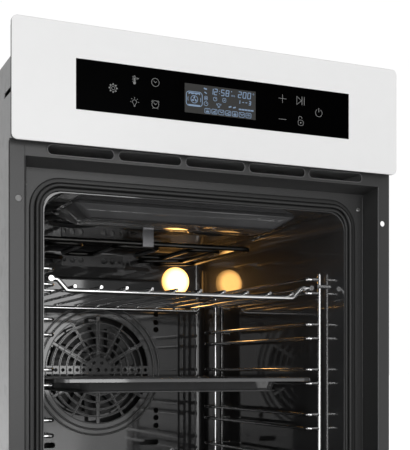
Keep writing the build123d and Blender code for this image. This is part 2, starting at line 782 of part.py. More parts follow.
with BuildPart() as case_screws:
    for s in (-1, 1):
        for z in (54.0, 438.5):
            with Locations(Location((s * 200.5, RECESS_Y, z), (90, 0, 0))):
                Cylinder(2.6, 1.4, align=(Align.CENTER, Align.CENTER, Align.MIN))
    for x in (-198, 198):
        for z in (40.0, 300.0, 555.0):
            with Locations(Location((x, CASE_REAR + SHEET, z), (-90, 0, 0))):
                Cylinder(3.6, 2.2, align=(Align.CENTER, Align.CENTER, Align.MIN))
    for s in (-1, 1):
        for y in (28.0, 500.0):
            with Locations(Location((s * CASE_HALF, y, 558), (0, 90 * s, 0))):
                Cylinder(3.6, 2.0, align=(Align.CENTER, Align.CENTER, Align.MIN))
save(case_screws, "case_screws")

with BuildPart() as cable_gland:
    with Locations(Location((INLET_X, CASE_REAR - 12, INLET_Z), (-90, 0, 0))):
        Cylinder(INLET_R, 26, align=(Align.CENTER, Align.CENTER, Align.MIN))
    with Locations(Location((INLET_X, CASE_REAR + SHEET, INLET_Z), (-90, 0, 0))):
        Cylinder(13, 6, align=(Align.CENTER, Align.CENTER, Align.MIN))
    with Locations(Location((INLET_X, CASE_REAR - 12, INLET_Z), (-90, 0, 0))):
        Cylinder(5, 26, align=(Align.CENTER, Align.CENTER, Align.MIN), mode=Mode.SUBTRACT)
save(cable_gland, "cable_gland")

with BuildPart() as terminal_block:
    with Locations((INLET_X, CASE_REAR - 45, INLET_Z)):
        Box(60, 28, 30)
    with Locations((INLET_X, CASE_REAR - 45, INLET_Z + 15)):
        with GridLocations(11, 0, 5, 1):
            Cylinder(3.2, 12, mode=Mode.SUBTRACT)
save(terminal_block, "terminal_block")

# ---------------------------------------------------------------- insulation
with BuildPart() as insulation:
    with Locations((0, 250, 246)):
        Box(390, 430, 412)
    with Locations((0, 242, 243)):
        Box(368, 434, 386, mode=Mode.SUBTRACT)
    for x, z, r in ((0, HUB_Z, 8), (LAMP_X, LAMP_Z, 18), (-120, 400, 4)):
        with Locations(Location((x, 460, z), (90, 0, 0))):
            Cylinder(r, 40, mode=Mode.SUBTRACT)
    for x, z in (*ELEMENT_HOLES, (-60, BOTTOM_ELEMENT_Z), (60, BOTTOM_ELEMENT_Z)):
        with Locations(Location((x, 460, z), (90, 0, 0))):
            Cylinder(6, 40, mode=Mode.SUBTRACT)
save(insulation, "insulation")

# ---------------------------------------------------------------- cooling system
DUCT_LOW = 463.0
DUCT_HIGH = 478.0
DUCT_HALF = 194.0
DUCT_BACK = 420.0
BLOWER_Y = 330.0
BLOWER_R = 74.0
BLOWER_TOP = 528.0
IMPELLER_R = 60.0

with BuildPart() as air_duct:
    with Locations((0, DUCT_BACK / 2, (DUCT_LOW + DUCT_HIGH) / 2)):
        Box(2 * DUCT_HALF, DUCT_BACK, DUCT_HIGH - DUCT_LOW)
    with Locations((0, DUCT_BACK / 2 - SHEET, (DUCT_LOW + DUCT_HIGH) / 2)):
        Box(
            2 * (DUCT_HALF - SHEET),
            DUCT_BACK,
            DUCT_HIGH - DUCT_LOW - 2 * SHEET,
            mode=Mode.SUBTRACT,
        )
    with Locations((0, BLOWER_Y, DUCT_HIGH)):
        Cylinder(50, 6, mode=Mode.SUBTRACT)
save(air_duct, "air_duct")

with BuildPart() as blower_housing:
    with BuildSketch(Plane.XY.offset(DUCT_HIGH)):
        with Locations((0, BLOWER_Y)):
            Circle(BLOWER_R)
            Circle(50, mode=Mode.SUBTRACT)
    extrude(amount=SHEET)
    with BuildSketch(Plane.XY.offset(DUCT_HIGH + SHEET)):
        with Locations((0, BLOWER_Y)):
            Circle(BLOWER_R)
            Circle(BLOWER_R - SHEET, mode=Mode.SUBTRACT)
    extrude(amount=BLOWER_TOP - DUCT_HIGH - 2 * SHEET)
    with BuildSketch(Plane.XY.offset(BLOWER_TOP - SHEET)):
        with Locations((0, BLOWER_Y)):
            Circle(BLOWER_R)
            Circle(46, mode=Mode.SUBTRACT)
            for angle in (0, 120, 240):
                with Locations(Location((0, 0, 0), (0, 0, angle))):
                    with Locations((32, 0)):
                        Rectangle(36, 9)
            Circle(19)
            Circle(3 + RUNNING_GAP, mode=Mode.SUBTRACT)
    extrude(amount=SHEET)
save(blower_housing, "blower_housing")

with BuildPart() as blower_impeller:
    with BuildSketch(Plane.XY.offset(DUCT_HIGH + 6)):
        with Locations((0, BLOWER_Y)):
            Circle(IMPELLER_R)
    extrude(amount=1.2)
    with BuildSketch(Plane.XY.offset(DUCT_HIGH + 7.2)):
        with Locations((0, BLOWER_Y)):
            Circle(8)
            with PolarLocations(52, 20):
                Rectangle(15, 1.4, rotation=35)
    extrude(amount=30)
    with Locations((0, BLOWER_Y, DUCT_HIGH + 6)):
        Cylinder(3, 56, align=(Align.CENTER, Align.CENTER, Align.MIN))
save(blower_impeller, "blower_impeller")

with BuildPart() as blower_motor:
    with BuildSketch(Plane.XY.offset(BLOWER_TOP)):
        with Locations((0, BLOWER_Y)):
            RectangleRounded(48, 40, 6)
            Circle(3 + RUNNING_GAP, mode=Mode.SUBTRACT)
    extrude(amount=12.5)
    with BuildSketch(Plane.XY.offset(BLOWER_TOP + 12.5)):
        with Locations((0, BLOWER_Y)):
            RectangleRounded(48, 40, 6)
    extrude(amount=22)
save(blower_motor, "blower_motor")

with BuildPart() as thermal_cutout:
    with Locations((120, 200, DUCT_HIGH)):
        Cylinder(8, 9, align=(Align.CENTER, Align.CENTER, Align.MIN))
    with Locations((120, 200, DUCT_HIGH + 9)):
        with GridLocations(10, 0, 2, 1):
            Box(1, 6.3, 8, align=(Align.CENTER, Align.CENTER, Align.MIN))
save(thermal_cutout, "thermal_cutout")

with BuildPart() as power_board:
    with Locations((-120, 180, DUCT_HIGH + 12)):
        Box(120, 160, 1.6)
    with Locations((-120, 180, DUCT_HIGH + 12.8)):
        with GridLocations(34, 0, 3, 1):
            Box(18, 28, 18, align=(Align.CENTER, Align.CENTER, Align.MIN))
    for x in (-172, -68):
        for y in (108, 252):
            with Locations((x, y, DUCT_HIGH)):
                Cylinder(3, 11.2, align=(Align.CENTER, Align.CENTER, Align.MIN))
save(power_board, "power_board")

# ---------------------------------------------------------------- door, drawn closed
INNER_HALF = 186.0
BOX_FRONT = GLASS_FRONT + GLASS
COLUMN_IN = 178.0
COLUMN_BACK = 21.0
MIDDLE_GLASS_Y = 10.0
MIDDLE_GLASS_Z = 234.0
MIDDLE_GLASS_H = 320.0
HANDLE_HALF = 190.0
HANDLE_OUT = -30.0
HANDLE_LIP = 2.6
HANDLE_LOW = 438.0
HANDLE_TOP = 470.0

with BuildPart() as door_outer_glass:
    with BuildSketch(facing(GLASS_FRONT)):
        with Locations((0, (DOOR_TOP + DOOR_BOTTOM) / 2)):
            RectangleRounded(FRONT_W, DOOR_TOP - DOOR_BOTTOM, PANEL_R)
    extrude(amount=back_by(GLASS))
    door_rim = door_outer_glass.faces().sort_by(Axis.Y)[0].outer_wire().edges()
    chamfer(door_rim, 0.6)
save_door(door_outer_glass, "door_outer_glass")

with BuildPart() as door_columns:
    column_w = BOX_HALF - COLUMN_IN
    column_d = COLUMN_BACK - BOX_FRONT
    column_z = (BOX_TOP + BOX_BOTTOM) / 2
    for _, s in SIDES:
        column_x = s * (BOX_HALF + COLUMN_IN) / 2
        with Locations((column_x, BOX_FRONT + column_d / 2, column_z)):
            Box(column_w, column_d, BOX_TOP - BOX_BOTTOM)
        with Locations((column_x, BOX_FRONT + column_d / 2 - 2, column_z - 2)):
            Box(column_w - 4, column_d, BOX_TOP - BOX_BOTTOM, mode=Mode.SUBTRACT)
        with Locations((s * HINGE_X, COLUMN_BACK, BOX_BOTTOM)):
            Box(6, 12, 44, mode=Mode.SUBTRACT)
        with Locations((s * (COLUMN_IN + 1), MIDDLE_GLASS_Y, MIDDLE_GLASS_Z)):
            Box(2, GLASS + 0.4, MIDDLE_GLASS_H, mode=Mode.SUBTRACT)
save_door(door_columns, "door_columns")

with BuildPart() as door_top_bar:
    with Locations((0, (BOX_FRONT + COLUMN_BACK) / 2, BOX_TOP - 9)):
        Box(2 * COLUMN_IN, COLUMN_BACK - BOX_FRONT, 18)
    with Locations((0, (BOX_FRONT + COLUMN_BACK) / 2, BOX_TOP - 11)):
        Box(2 * COLUMN_IN - 4, COLUMN_BACK - BOX_FRONT - 4, 18, mode=Mode.SUBTRACT)
    with BuildSketch(Plane.XY.offset(BOX_TOP)):
        with Locations((0, (BOX_FRONT + COLUMN_BACK) / 2)):
            with GridLocations(24, 0, 14, 1):
                SlotOverall(14, 5)
    extrude(amount=-3, mode=Mode.SUBTRACT)
save_door(door_top_bar, "door_top_bar")

with BuildPart() as door_bottom_bar:
    with Locations((0, (BOX_FRONT + COLUMN_BACK) / 2, BOX_BOTTOM + 9)):
        Box(2 * COLUMN_IN, COLUMN_BACK - BOX_FRONT, 18)
    with Locations((0, (BOX_FRONT + COLUMN_BACK) / 2, BOX_BOTTOM + 11)):
        Box(2 * COLUMN_IN - 4, COLUMN_BACK - BOX_FRONT - 4, 18, mode=Mode.SUBTRACT)
save_door(door_bottom_bar, "door_bottom_bar")

with BuildPart() as door_middle_glass:
    with Locations((0, MIDDLE_GLASS_Y, MIDDLE_GLASS_Z)):
        Box(2 * COLUMN_IN + 2, GLASS, MIDDLE_GLASS_H)
save_door(door_middle_glass, "door_middle_glass")

with BuildPart() as door_inner_glass:
    with BuildSketch(facing(COLUMN_BACK)):
        with Locations((0, (BOX_TOP + 46) / 2)):
            RectangleRounded(2 * INNER_HALF + 28, BOX_TOP - 46 - 4, 8)
    extrude(amount=back_by(DOOR_INNER - COLUMN_BACK))
save_door(door_inner_glass, "door_inner_glass")

with BuildPart() as door_handle:
    with BuildSketch(Plane.YZ.offset(-HANDLE_HALF)):
        Polygon(
            (HANDLE_OUT, HANDLE_LOW),
            (HANDLE_OUT + HANDLE_LIP, HANDLE_LOW),
            (HANDLE_OUT + HANDLE_LIP, DOOR_TOP),
            (-6, DOOR_TOP),
            (-6, HANDLE_TOP),
            (HANDLE_OUT, HANDLE_TOP),
            align=None,
        )
    extrude(amount=2 * HANDLE_HALF)
    fillet(door_handle.edges().filter_by(Axis.X).group_by(Axis.Z)[0], 1.2)
    with Locations((0, -8.5, (BOX_TOP + DOOR_TOP) / 2)):
        with GridLocations(300, 0, 2, 1):
            Box(16, 4.8, DOOR_TOP - BOX_TOP)
save_door(door_handle, "door_handle")

CHEEK = 1.5
CHEEK_X = 3.75

with BuildPart() as hinge_bodies:
    for _, s in SIDES:
        for x in (HINGE_X - CHEEK_X, HINGE_X + CHEEK_X):
            with Locations((s * x, -1.5, 92)):
                Box(CHEEK, 17, 152)
        with Locations((s * HINGE_X, 6.25, 107)):
            Box(2 * CHEEK_X + CHEEK, CHEEK, 122)
        with Locations(Location((s * HINGE_X, HINGE_Y, HINGE_Z), (0, 90, 0))):
            Cylinder(HINGE_PIN_R, 12, mode=Mode.SUBTRACT)
save_door(hinge_bodies, "hinge_bodies")

with BuildPart() as hinge_pins:
    for _, s in SIDES:
        with Locations(Location((s * HINGE_X, HINGE_Y, HINGE_Z), (0, 90, 0))):
            Cylinder(HINGE_PIN_R, 11)
save_door(hinge_pins, "hinge_pins")

with BuildPart() as hinge_springs:
    for _, s in SIDES:
        with Locations((s * HINGE_X, -1.5, 110)):
            Cylinder(2.4, 90)
save_door(hinge_springs, "hinge_springs")

ARM_END = 62.0
ARM_HALF = 3.8
ARM_THICK = 3.0

with BuildPart() as hinge_arms:
    for _, s in SIDES:
        with BuildSketch(Plane.YZ.offset(s * HINGE_X - ARM_THICK / 2)):
            with Locations((HINGE_Y, HINGE_Z)):
                Circle(ARM_HALF)
            with Locations(((HINGE_Y + ARM_END) / 2, HINGE_Z)):
                Rectangle(ARM_END - HINGE_Y, 2 * ARM_HALF)
            with Locations((ARM_END - 10, HINGE_Z - 5)):
                Rectangle(12, 6)
            with Locations((HINGE_Y, HINGE_Z)):
                Circle(HINGE_PIN_R + RUNNING_GAP, mode=Mode.SUBTRACT)
        extrude(amount=ARM_THICK)
save(hinge_arms, "hinge_arms")

with BuildPart() as hinge_sockets:
    socket_y = RECESS_Y + SHEET
    for _, s in SIDES:
        with Locations((s * HINGE_X, socket_y + 22, HINGE_Z)):
            Box(13, 44, 26)
        with Locations((s * HINGE_X, socket_y + 21, HINGE_Z)):
            Box(10, 44, 18, mode=Mode.SUBTRACT)
save(hinge_sockets, "hinge_sockets")
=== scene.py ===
# %% [markdown]
# # A slim built-in wall oven, door down
# The sheet-metal and wire parts arrive as a finished frame, in metres, at their real places.
# This lesson dresses that frame: it gives every part a finish and adds the pieces that are
# easier to shape by hand than to draft, such as icons, pressed ribs, seals and screw heads.

# %% Load the frame
from math import atan2, cos, degrees, hypot, pi, radians, sin

import bmesh
import bpy
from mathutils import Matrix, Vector
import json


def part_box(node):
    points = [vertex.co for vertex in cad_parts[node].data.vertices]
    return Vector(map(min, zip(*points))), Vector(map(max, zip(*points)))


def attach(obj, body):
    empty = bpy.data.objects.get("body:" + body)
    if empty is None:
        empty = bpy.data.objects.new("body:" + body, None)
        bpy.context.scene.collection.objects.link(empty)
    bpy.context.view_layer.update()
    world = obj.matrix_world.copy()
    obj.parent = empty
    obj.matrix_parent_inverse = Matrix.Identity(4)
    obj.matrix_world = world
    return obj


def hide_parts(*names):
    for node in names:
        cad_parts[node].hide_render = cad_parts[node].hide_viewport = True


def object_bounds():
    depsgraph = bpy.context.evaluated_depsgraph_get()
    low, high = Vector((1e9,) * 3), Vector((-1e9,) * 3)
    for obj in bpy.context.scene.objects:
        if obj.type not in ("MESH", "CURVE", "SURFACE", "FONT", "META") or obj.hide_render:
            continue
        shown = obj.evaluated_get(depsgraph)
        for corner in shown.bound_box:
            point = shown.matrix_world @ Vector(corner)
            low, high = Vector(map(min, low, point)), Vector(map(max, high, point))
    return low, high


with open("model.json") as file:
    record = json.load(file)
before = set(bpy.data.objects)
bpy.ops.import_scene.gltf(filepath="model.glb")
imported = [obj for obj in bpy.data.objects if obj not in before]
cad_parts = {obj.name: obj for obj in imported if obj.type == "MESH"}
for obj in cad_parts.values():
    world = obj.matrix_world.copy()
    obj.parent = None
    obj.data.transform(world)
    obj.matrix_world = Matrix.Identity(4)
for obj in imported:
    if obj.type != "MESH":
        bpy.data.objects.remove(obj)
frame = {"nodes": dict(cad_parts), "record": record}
nodes = frame["nodes"]
cad_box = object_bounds()
print("parts in the frame:", len(nodes))

# %% [markdown]
# ## Camera
# The viewer sits low and left of the oven and looks level into the cavity, so upright edges
# stay upright. A lens shift lifts the picture instead of tilting the camera.

# %% Camera
MM = 0.001
bpy.ops.object.camera_add(
    location=(-432.5 * MM, -958.7 * MM, 248.8 * MM),
    rotation=(radians(90), 0, radians(-23.69)),
)
camera = bpy.context.object
camera.name = "camera"
camera.data.sensor_width = 36.0
camera.data.lens = 77.9
camera.data.shift_y = 0.320
camera.data.clip_start = 0.01
bpy.context.scene.camera = camera
print("lens", camera.data.lens)

# %% [markdown]
# ## Studio
# A plain pale floor runs far back, and the world is a soft white, as in a catalogue studio.
# Large area lights give the sheet metal and the glass their broad highlights. The world is
# whitest where the camera sees it, softer where it lights, and dimmest where shiny parts
# mirror it, so that black enamel stays black.

# %% Floor and world
bpy.ops.mesh.primitive_plane_add(size=60, location=(0, 0, cad_box[0][2] - 0.002))
floor = bpy.context.object
floor.name = "floor"

world = bpy.data.worlds.new("studio")
bpy.context.scene.world = world
world.use_nodes = True
sky = world.node_tree
sky.nodes["Background"].inputs["Color"].default_value = (1, 1, 1, 1)
ray = sky.nodes.new("ShaderNodeLightPath")
level = sky.nodes.new("ShaderNodeMapRange")
level.inputs["To Min"].default_value = 0.55
level.inputs["To Max"].default_value = 1.02
sky.links.new(ray.outputs["Is Camera Ray"], level.inputs["Value"])
mirror = sky.nodes.new("ShaderNodeMapRange")
mirror.inputs["To Min"].default_value = 1.0
mirror.inputs["To Max"].default_value = 0.40
sky.links.new(ray.outputs["Is Glossy Ray"], mirror.inputs["Value"])
total = sky.nodes.new("ShaderNodeMath")
total.operation = "MULTIPLY"
sky.links.new(level.outputs["Result"], total.inputs[0])
sky.links.new(mirror.outputs["Result"], total.inputs[1])
sky.links.new(total.outputs["Value"], sky.nodes["Background"].inputs["Strength"])
bpy.context.scene.view_settings.view_transform = "Standard"


# %% Lights
def softbox(name, place, aim, size, watts, colour=(1, 1, 1)):
    """A square area light at place that looks at aim."""
    away = [a - b for a, b in zip(place, aim)]
    tilt = atan2(hypot(away[0], away[1]), away[2])
    turn = atan2(away[1], away[0]) + pi / 2
    bpy.ops.object.light_add(type="AREA", location=place, rotation=(tilt, 0, turn))
    light = bpy.context.object
    light.name = name
    light.data.size = size
    light.data.energy = watts
    light.data.color = colour
    return light


middle = (0, 0.0, 0.35)
softbox("front_box", (0.35, -3.0, 0.75), middle, 1.25, 17)
softbox("key_left", (-1.3, -2.2, 2.2), middle, 1.0, 12)
softbox("side_wall", (-2.6, 0.2, 0.3), (-0.2, 0.3, 0.25), 1.6, 6)
softbox("low_fill", (-0.9, -2.2, 0.12), (0.1, 0.2, 0.2), 0.9, 4)
print("lights are up")

# %% [markdown]
# ## Finishes
# Every finish is a Principled shader. A noise texture in object space drives a small change
# of colour and roughness and a fine bump, so no surface is one flat colour. A Bevel node
# rounds the shading of sharp edges, because folded sheet and moulded plastic never have a
# perfectly sharp edge, and that thin line of light is what makes metal look like metal.


# %% Material helper
def finish(name, colour, rough=0.4, metal=0.0, vary=0.06, scale=60, bump=0.05, edge=0.6, **more):
    """A fine-grained material: vary changes colour, edge is the shaded edge radius in mm."""
    mat = bpy.data.materials.new(name)
    mat.use_nodes = True
    tree = mat.node_tree
    shader = tree.nodes["Principled BSDF"]
    coords = tree.nodes.new("ShaderNodeTexCoord")
    noise = tree.nodes.new("ShaderNodeTexNoise")
    noise.inputs["Scale"].default_value = scale
    noise.inputs["Detail"].default_value = 6
    tree.links.new(coords.outputs["Object"], noise.inputs["Vector"])
    ramp = tree.nodes.new("ShaderNodeValToRGB")
    ramp.color_ramp.elements[0].position = 0.3
    ramp.color_ramp.elements[1].position = 0.7
    ramp.color_ramp.elements[0].color = [c * (1 - vary) for c in colour] + [1]
    ramp.color_ramp.elements[1].color = [min(1, c * (1 + vary)) for c in colour] + [1]
    tree.links.new(noise.outputs["Fac"], ramp.inputs["Fac"])
    tree.links.new(ramp.outputs["Color"], shader.inputs["Base Color"])
    spread = tree.nodes.new("ShaderNodeMapRange")
    spread.inputs["To Min"].default_value = rough * 0.88
    spread.inputs["To Max"].default_value = min(1, rough * 1.12)
    tree.links.new(noise.outputs["Fac"], spread.inputs["Value"])
    tree.links.new(spread.outputs["Result"], shader.inputs["Roughness"])
    grain = tree.nodes.new("ShaderNodeBump")
    grain.inputs["Strength"].default_value = bump
    grain.inputs["Distance"].default_value = 0.0001
    tree.links.new(noise.outputs["Fac"], grain.inputs["Height"])
    if edge:
        rounded = tree.nodes.new("ShaderNodeBevel")
        rounded.samples = 4
        rounded.inputs["Radius"].default_value = edge * MM
        tree.links.new(rounded.outputs["Normal"], grain.inputs["Normal"])
    tree.links.new(grain.outputs["Normal"], shader.inputs["Normal"])
    shader.inputs["Metallic"].default_value = metal
    for socket, value in more.items():
        shader.inputs[socket.replace("_", " ")].default_value = value
    return mat


# %% [markdown]
# Zinc-dipped sheet shows a mosaic of crystals. A Voronoi texture in object space makes the
# spangle, and stretched noise adds the faint rolling lines.


# %% Galvanised sheet
def galvanised(name, colour):
    """Zinc-coated sheet with a soft spangle."""
    mat = finish(name, colour, rough=0.42, metal=0.35, vary=0.03, scale=9, bump=0.02)
    tree = mat.node_tree
    shader = tree.nodes["Principled BSDF"]
    coords = tree.nodes["Texture Coordinate"]
    cells = tree.nodes.new("ShaderNodeTexVoronoi")
    cells.inputs["Scale"].default_value = 110
    tree.links.new(coords.outputs["Object"], cells.inputs["Vector"])
    tint = tree.nodes.new("ShaderNodeMix")
    tint.data_type = "RGBA"
    tint.blend_type = "OVERLAY"
    tint.inputs["Factor"].default_value = 0.10
    tree.links.new(tree.nodes["Color Ramp"].outputs["Color"], tint.inputs["A"])
    tree.links.new(cells.outputs["Color"], tint.inputs["B"])
    grey = tree.nodes.new("ShaderNodeHueSaturation")
    grey.inputs["Saturation"].default_value = 0.0
    tree.links.new(tint.outputs["Result"], grey.inputs["Color"])
    tree.links.new(grey.outputs["Color"], shader.inputs["Base Color"])
    return mat


# %% [markdown]
# Vitreous enamel is glass fused on steel: deep black, glossy, with tiny pale specks and a
# slight orange-peel ripple that makes reflections swim a little.


# %% Speckled enamel
def enamel(name, colour, rough, specks, edge=1.5):
    """Glass enamel with fine light specks."""
    mat = finish(name, colour, rough, vary=0.15, scale=25, bump=0.10, edge=edge, Coat_Weight=1.0)
    tree = mat.node_tree
    shader = tree.nodes["Principled BSDF"]
    shader.inputs["Coat Roughness"].default_value = 0.05
    shader.inputs["Coat IOR"].default_value = 1.75
    shader.inputs["Specular IOR Level"].default_value = 0.25
    coords = tree.nodes["Texture Coordinate"]
    cells = tree.nodes.new("ShaderNodeTexVoronoi")
    cells.inputs["Scale"].default_value = 420
    tree.links.new(coords.outputs["Object"], cells.inputs["Vector"])
    dots = tree.nodes.new("ShaderNodeMapRange")
    dots.inputs["From Min"].default_value = 0.10
    dots.inputs["From Max"].default_value = 0.16
    dots.inputs["To Min"].default_value = specks
    dots.inputs["To Max"].default_value = 0.0
    tree.links.new(cells.outputs["Distance"], dots.inputs["Value"])
    mix = tree.nodes.new("ShaderNodeMix")
    mix.data_type = "RGBA"
    mix.inputs["B"].default_value = (0.30, 0.31, 0.33, 1)
    tree.links.new(dots.outputs["Result"], mix.inputs["Factor"])
    tree.links.new(tree.nodes["Color Ramp"].outputs["Color"], mix.inputs["A"])
    tree.links.new(mix.outputs["Result"], shader.inputs["Base Color"])
    return mat


# %% Glowing finish
def glowing(name, colour, strength, base=(0.02, 0.02, 0.02)):
    """A lit surface, such as a display segment or the lamp."""
    mat = finish(name, base, rough=0.3, vary=0.02, edge=0)
    shader = mat.node_tree.nodes["Principled BSDF"]
    shader.inputs["Emission Color"].default_value = (*colour, 1)
    shader.inputs["Emission Strength"].default_value = strength
    return mat


# %% The finishes of this oven
ENAMEL = (0.034, 0.034, 0.035)
GLASS_WHITE = (0.77, 0.77, 0.77)
FINISHES = {
    "white_glass": finish("white_glass", GLASS_WHITE, 0.2, vary=0.006, Specular_IOR_Level=0.2),
    "black_glass": finish(
        "black_glass",
        (0.0004, 0.0004, 0.0005),
        0.25,
        vary=0.2,
        bump=0,
        edge=0,
        Specular_IOR_Level=0.01,
    ),
    "lcd": finish(
        "lcd", (0.040, 0.040, 0.039), 0.5, vary=0.05, bump=0, edge=0, Specular_IOR_Level=0.05
    ),
    "black_plastic": finish("black_plastic", (0.018, 0.018, 0.019), 0.50, scale=400, bump=0.3),
    "white_plastic": finish("white_plastic", (0.72, 0.72, 0.70), 0.45, scale=300, bump=0.2),
    "circuit_board": finish("circuit_board", (0.02, 0.12, 0.05), 0.35, vary=0.25, scale=90),
    "spring_steel": finish("spring_steel", (0.5, 0.5, 0.5), 0.3, metal=1.0, scale=200),
    "black_paint": finish(
        "black_paint", (0.034, 0.034, 0.0342), 0.36, scale=700, bump=0.2, edge=0.9
    ),
    "gasket_rubber": finish("gasket_rubber", (0.007, 0.007, 0.007), 0.42, scale=500, bump=0.4),
    "zinc_steel": finish("zinc_steel", (0.42, 0.42, 0.42), 0.35, metal=1.0, scale=150),
    "black_enamel": enamel("black_enamel", ENAMEL, 0.55, 0.10),
    "enamel_trim": finish("enamel_trim", (0.10, 0.10, 0.10), 0.30, metal=0.5, scale=120),
    "tray_enamel": enamel("tray_enamel", (0.060, 0.060, 0.061), 0.45, 0.12, edge=1.0),
    # The fan's steel is darkened to near black: painted shade behind the grille.
    "fan_steel": finish("fan_steel", (0.05, 0.05, 0.05), 0.42, metal=0.9, scale=140),
    "motor_steel": finish("motor_steel", (0.25, 0.25, 0.26), 0.4, metal=1.0, scale=140),
    "element_steel": finish(
        "element_steel", (0.06, 0.059, 0.057), 0.34, metal=1.0, vary=0.2, edge=0
    ),
    "lamp_glass": glowing("lamp_glass", (1.0, 0.50, 0.13), 6.0, (0.8, 0.8, 0.75)),
    "ceramic": finish("ceramic", (0.76, 0.73, 0.66), 0.3, scale=120),
    "chrome_wire": finish("chrome_wire", (0.80, 0.80, 0.80), 0.12, metal=1.0, vary=0.03, edge=0),
    "galvanised": galvanised("galvanised", (0.40, 0.40, 0.40)),
    "glass_wool": finish("glass_wool", (0.70, 0.64, 0.42), 0.95, scale=240, bump=1.0),
    "door_glass": finish("door_glass", (0.006, 0.006, 0.0065), 0.08, vary=0.1, bump=0),
    "white_metal": finish("white_metal", (0.76, 0.76, 0.76), 0.30, metal=0.1, scale=300),
}
# Three lighter copies of the black enamel and the black paint, for pressed edges, rims, folds and
# the ceiling pan:
# painted highlights, since these parts are the same sheet and finish as the flat parts beside them.
rib_enamel_painted_highlight = finish("rib_enamel_painted_highlight", (0.13, 0.13, 0.13), 0.24, metal=0.5, scale=200, edge=0)
rim_paint_painted_highlight = finish("rim_paint_painted_highlight", (0.085, 0.085, 0.086), 0.32, metal=0.2, scale=500, edge=0)
pan_enamel_painted_sheen = enamel("pan_enamel_painted_sheen", (0.085, 0.085, 0.087), 0.42, 0.08, edge=0)
slot_of = {s["node"]: s["material_slot"] for s in frame["record"]["subparts"]}


def dress(obj, material):
    """Give an object one material only."""
    obj.data.materials.clear()
    obj.data.materials.append(material)


for name, node in nodes.items():
    dress(node, FINISHES[slot_of[name]])
# The bracket is bare sheet, lighter than the fan, whose steel is darkened to near black as painted
# shade behind the grille.
dress(nodes["grill_bracket"], FINISHES["motor_steel"])
print("finishes:", len(FINISHES))

# %% [markdown]
# The control glass is printed white on its back only, so its ground edge looks dark. Depth
# along Y tells the front face from the edge.

# %% Control glass with a dark edge
panel_glass = finish("panel_glass", GLASS_WHITE, 0.2, vary=0.006, Specular_IOR_Level=0.2)
panel_tree = panel_glass.node_tree
glass_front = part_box("control_glass")[0].y
axes = panel_tree.nodes.new("ShaderNodeSeparateXYZ")
panel_coords = panel_tree.nodes["Texture Coordinate"]
panel_tree.links.new(panel_coords.outputs["Object"], axes.inputs["Vector"])
depth = panel_tree.nodes.new("ShaderNodeMapRange")
depth.inputs["From Min"].default_value = glass_front + 0.6 * MM
depth.inputs["From Max"].default_value = glass_front + 1.0 * MM
panel_tree.links.new(axes.outputs["Y"], depth.inputs["Value"])
side_tint = panel_tree.nodes.new("ShaderNodeMix")
side_tint.data_type = "RGBA"
side_tint.inputs["B"].default_value = (0.045, 0.045, 0.045, 1)
panel_tree.links.new(depth.outputs["Result"], side_tint.inputs["Factor"])
panel_tree.links.new(panel_tree.nodes["Color Ramp"].outputs["Color"], side_tint.inputs["A"])
panel_shader = panel_tree.nodes["Principled BSDF"]
panel_tree.links.new(side_tint.outputs["Result"], panel_shader.inputs["Base Color"])
dress(nodes["control_glass"], panel_glass)
print("glass front at", round(glass_front / MM, 2), "mm")

# %% [markdown]
# The lamp is brightest in the middle, where the filament sits behind the glass, and falls off
# to a deep orange at its rim. The distance from the lamp's axis drives that change.

# %% Lamp glow
lamp_low, lamp_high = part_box("lamp_glass")
LAMP_X = (lamp_low.x + lamp_high.x) / 2
LAMP_Z = (lamp_low.z + lamp_high.z) / 2
LAMP_R = (lamp_high.x - lamp_low.x) / 2
BRIGHT_PART = 0.62
LAMP_GLOW = 8.0
RIM_GLOW = 1.6
glow_tree = FINISHES["lamp_glass"].node_tree
flat = glow_tree.nodes.new("ShaderNodeVectorMath")
flat.operation = "MULTIPLY"
flat.inputs[1].default_value = (1, 0, 1)
glow_tree.links.new(glow_tree.nodes["Texture Coordinate"].outputs["Object"], flat.inputs[0])
off_axis = glow_tree.nodes.new("ShaderNodeVectorMath")
off_axis.operation = "DISTANCE"
off_axis.inputs[1].default_value = (LAMP_X, 0, LAMP_Z)
glow_tree.links.new(flat.outputs["Vector"], off_axis.inputs[0])
fall = glow_tree.nodes.new("ShaderNodeMapRange")
fall.inputs["From Min"].default_value = LAMP_R * BRIGHT_PART
fall.inputs["From Max"].default_value = LAMP_R
fall.inputs["To Min"].default_value = LAMP_GLOW
fall.inputs["To Max"].default_value = RIM_GLOW
glow_tree.links.new(off_axis.outputs["Value"], fall.inputs["Value"])
glow_shader = glow_tree.nodes["Principled BSDF"]
glow_tree.links.new(fall.outputs["Result"], glow_shader.inputs["Emission Strength"])
print("lamp radius", round(LAMP_R / MM, 1), "mm")

# %% [markdown]
# The floor has to read as the same white as the backdrop, so the viewer sees it glow. The oven
# gets only about half of that glow, or its underside would be lit like a light table.

# %% Floor finish
studio_floor = glowing("studio_floor", (1, 1, 1), 1.0, (0.78, 0.78, 0.78))
floor_tree = studio_floor.node_tree
seen = floor_tree.nodes.new("ShaderNodeLightPath")
lit = floor_tree.nodes.new("ShaderNodeMapRange")
lit.inputs["To Min"].default_value = 0.55
lit.inputs["To Max"].default_value = 1.0
floor_tree.links.new(seen.outputs["Is Camera Ray"], lit.inputs["Value"])
floor_tree.links.new(
    lit.outputs["Result"], floor_tree.nodes["Principled BSDF"].inputs["Emission Strength"]
)
dress(floor, studio_floor)
print("floor at", round(floor.location.z, 4), "m")

# %% [markdown]
# ## Working by hand in edit mode
# The pieces below start as primitives and are shaped in edit mode. These helpers pick the
# vertices, edges or faces to work on, clean up a shape, and put a finished piece on its body
# with its place in its mesh.


# %% Edit-mode helpers
def edit():
    bpy.ops.object.mode_set(mode="EDIT")


def leave():
    bpy.ops.object.mode_set(mode="OBJECT")


def only(piece):
    """Select one object and nothing else."""
    bpy.ops.object.select_all(action="DESELECT")
    piece.select_set(True)
    bpy.context.view_layer.objects.active = piece


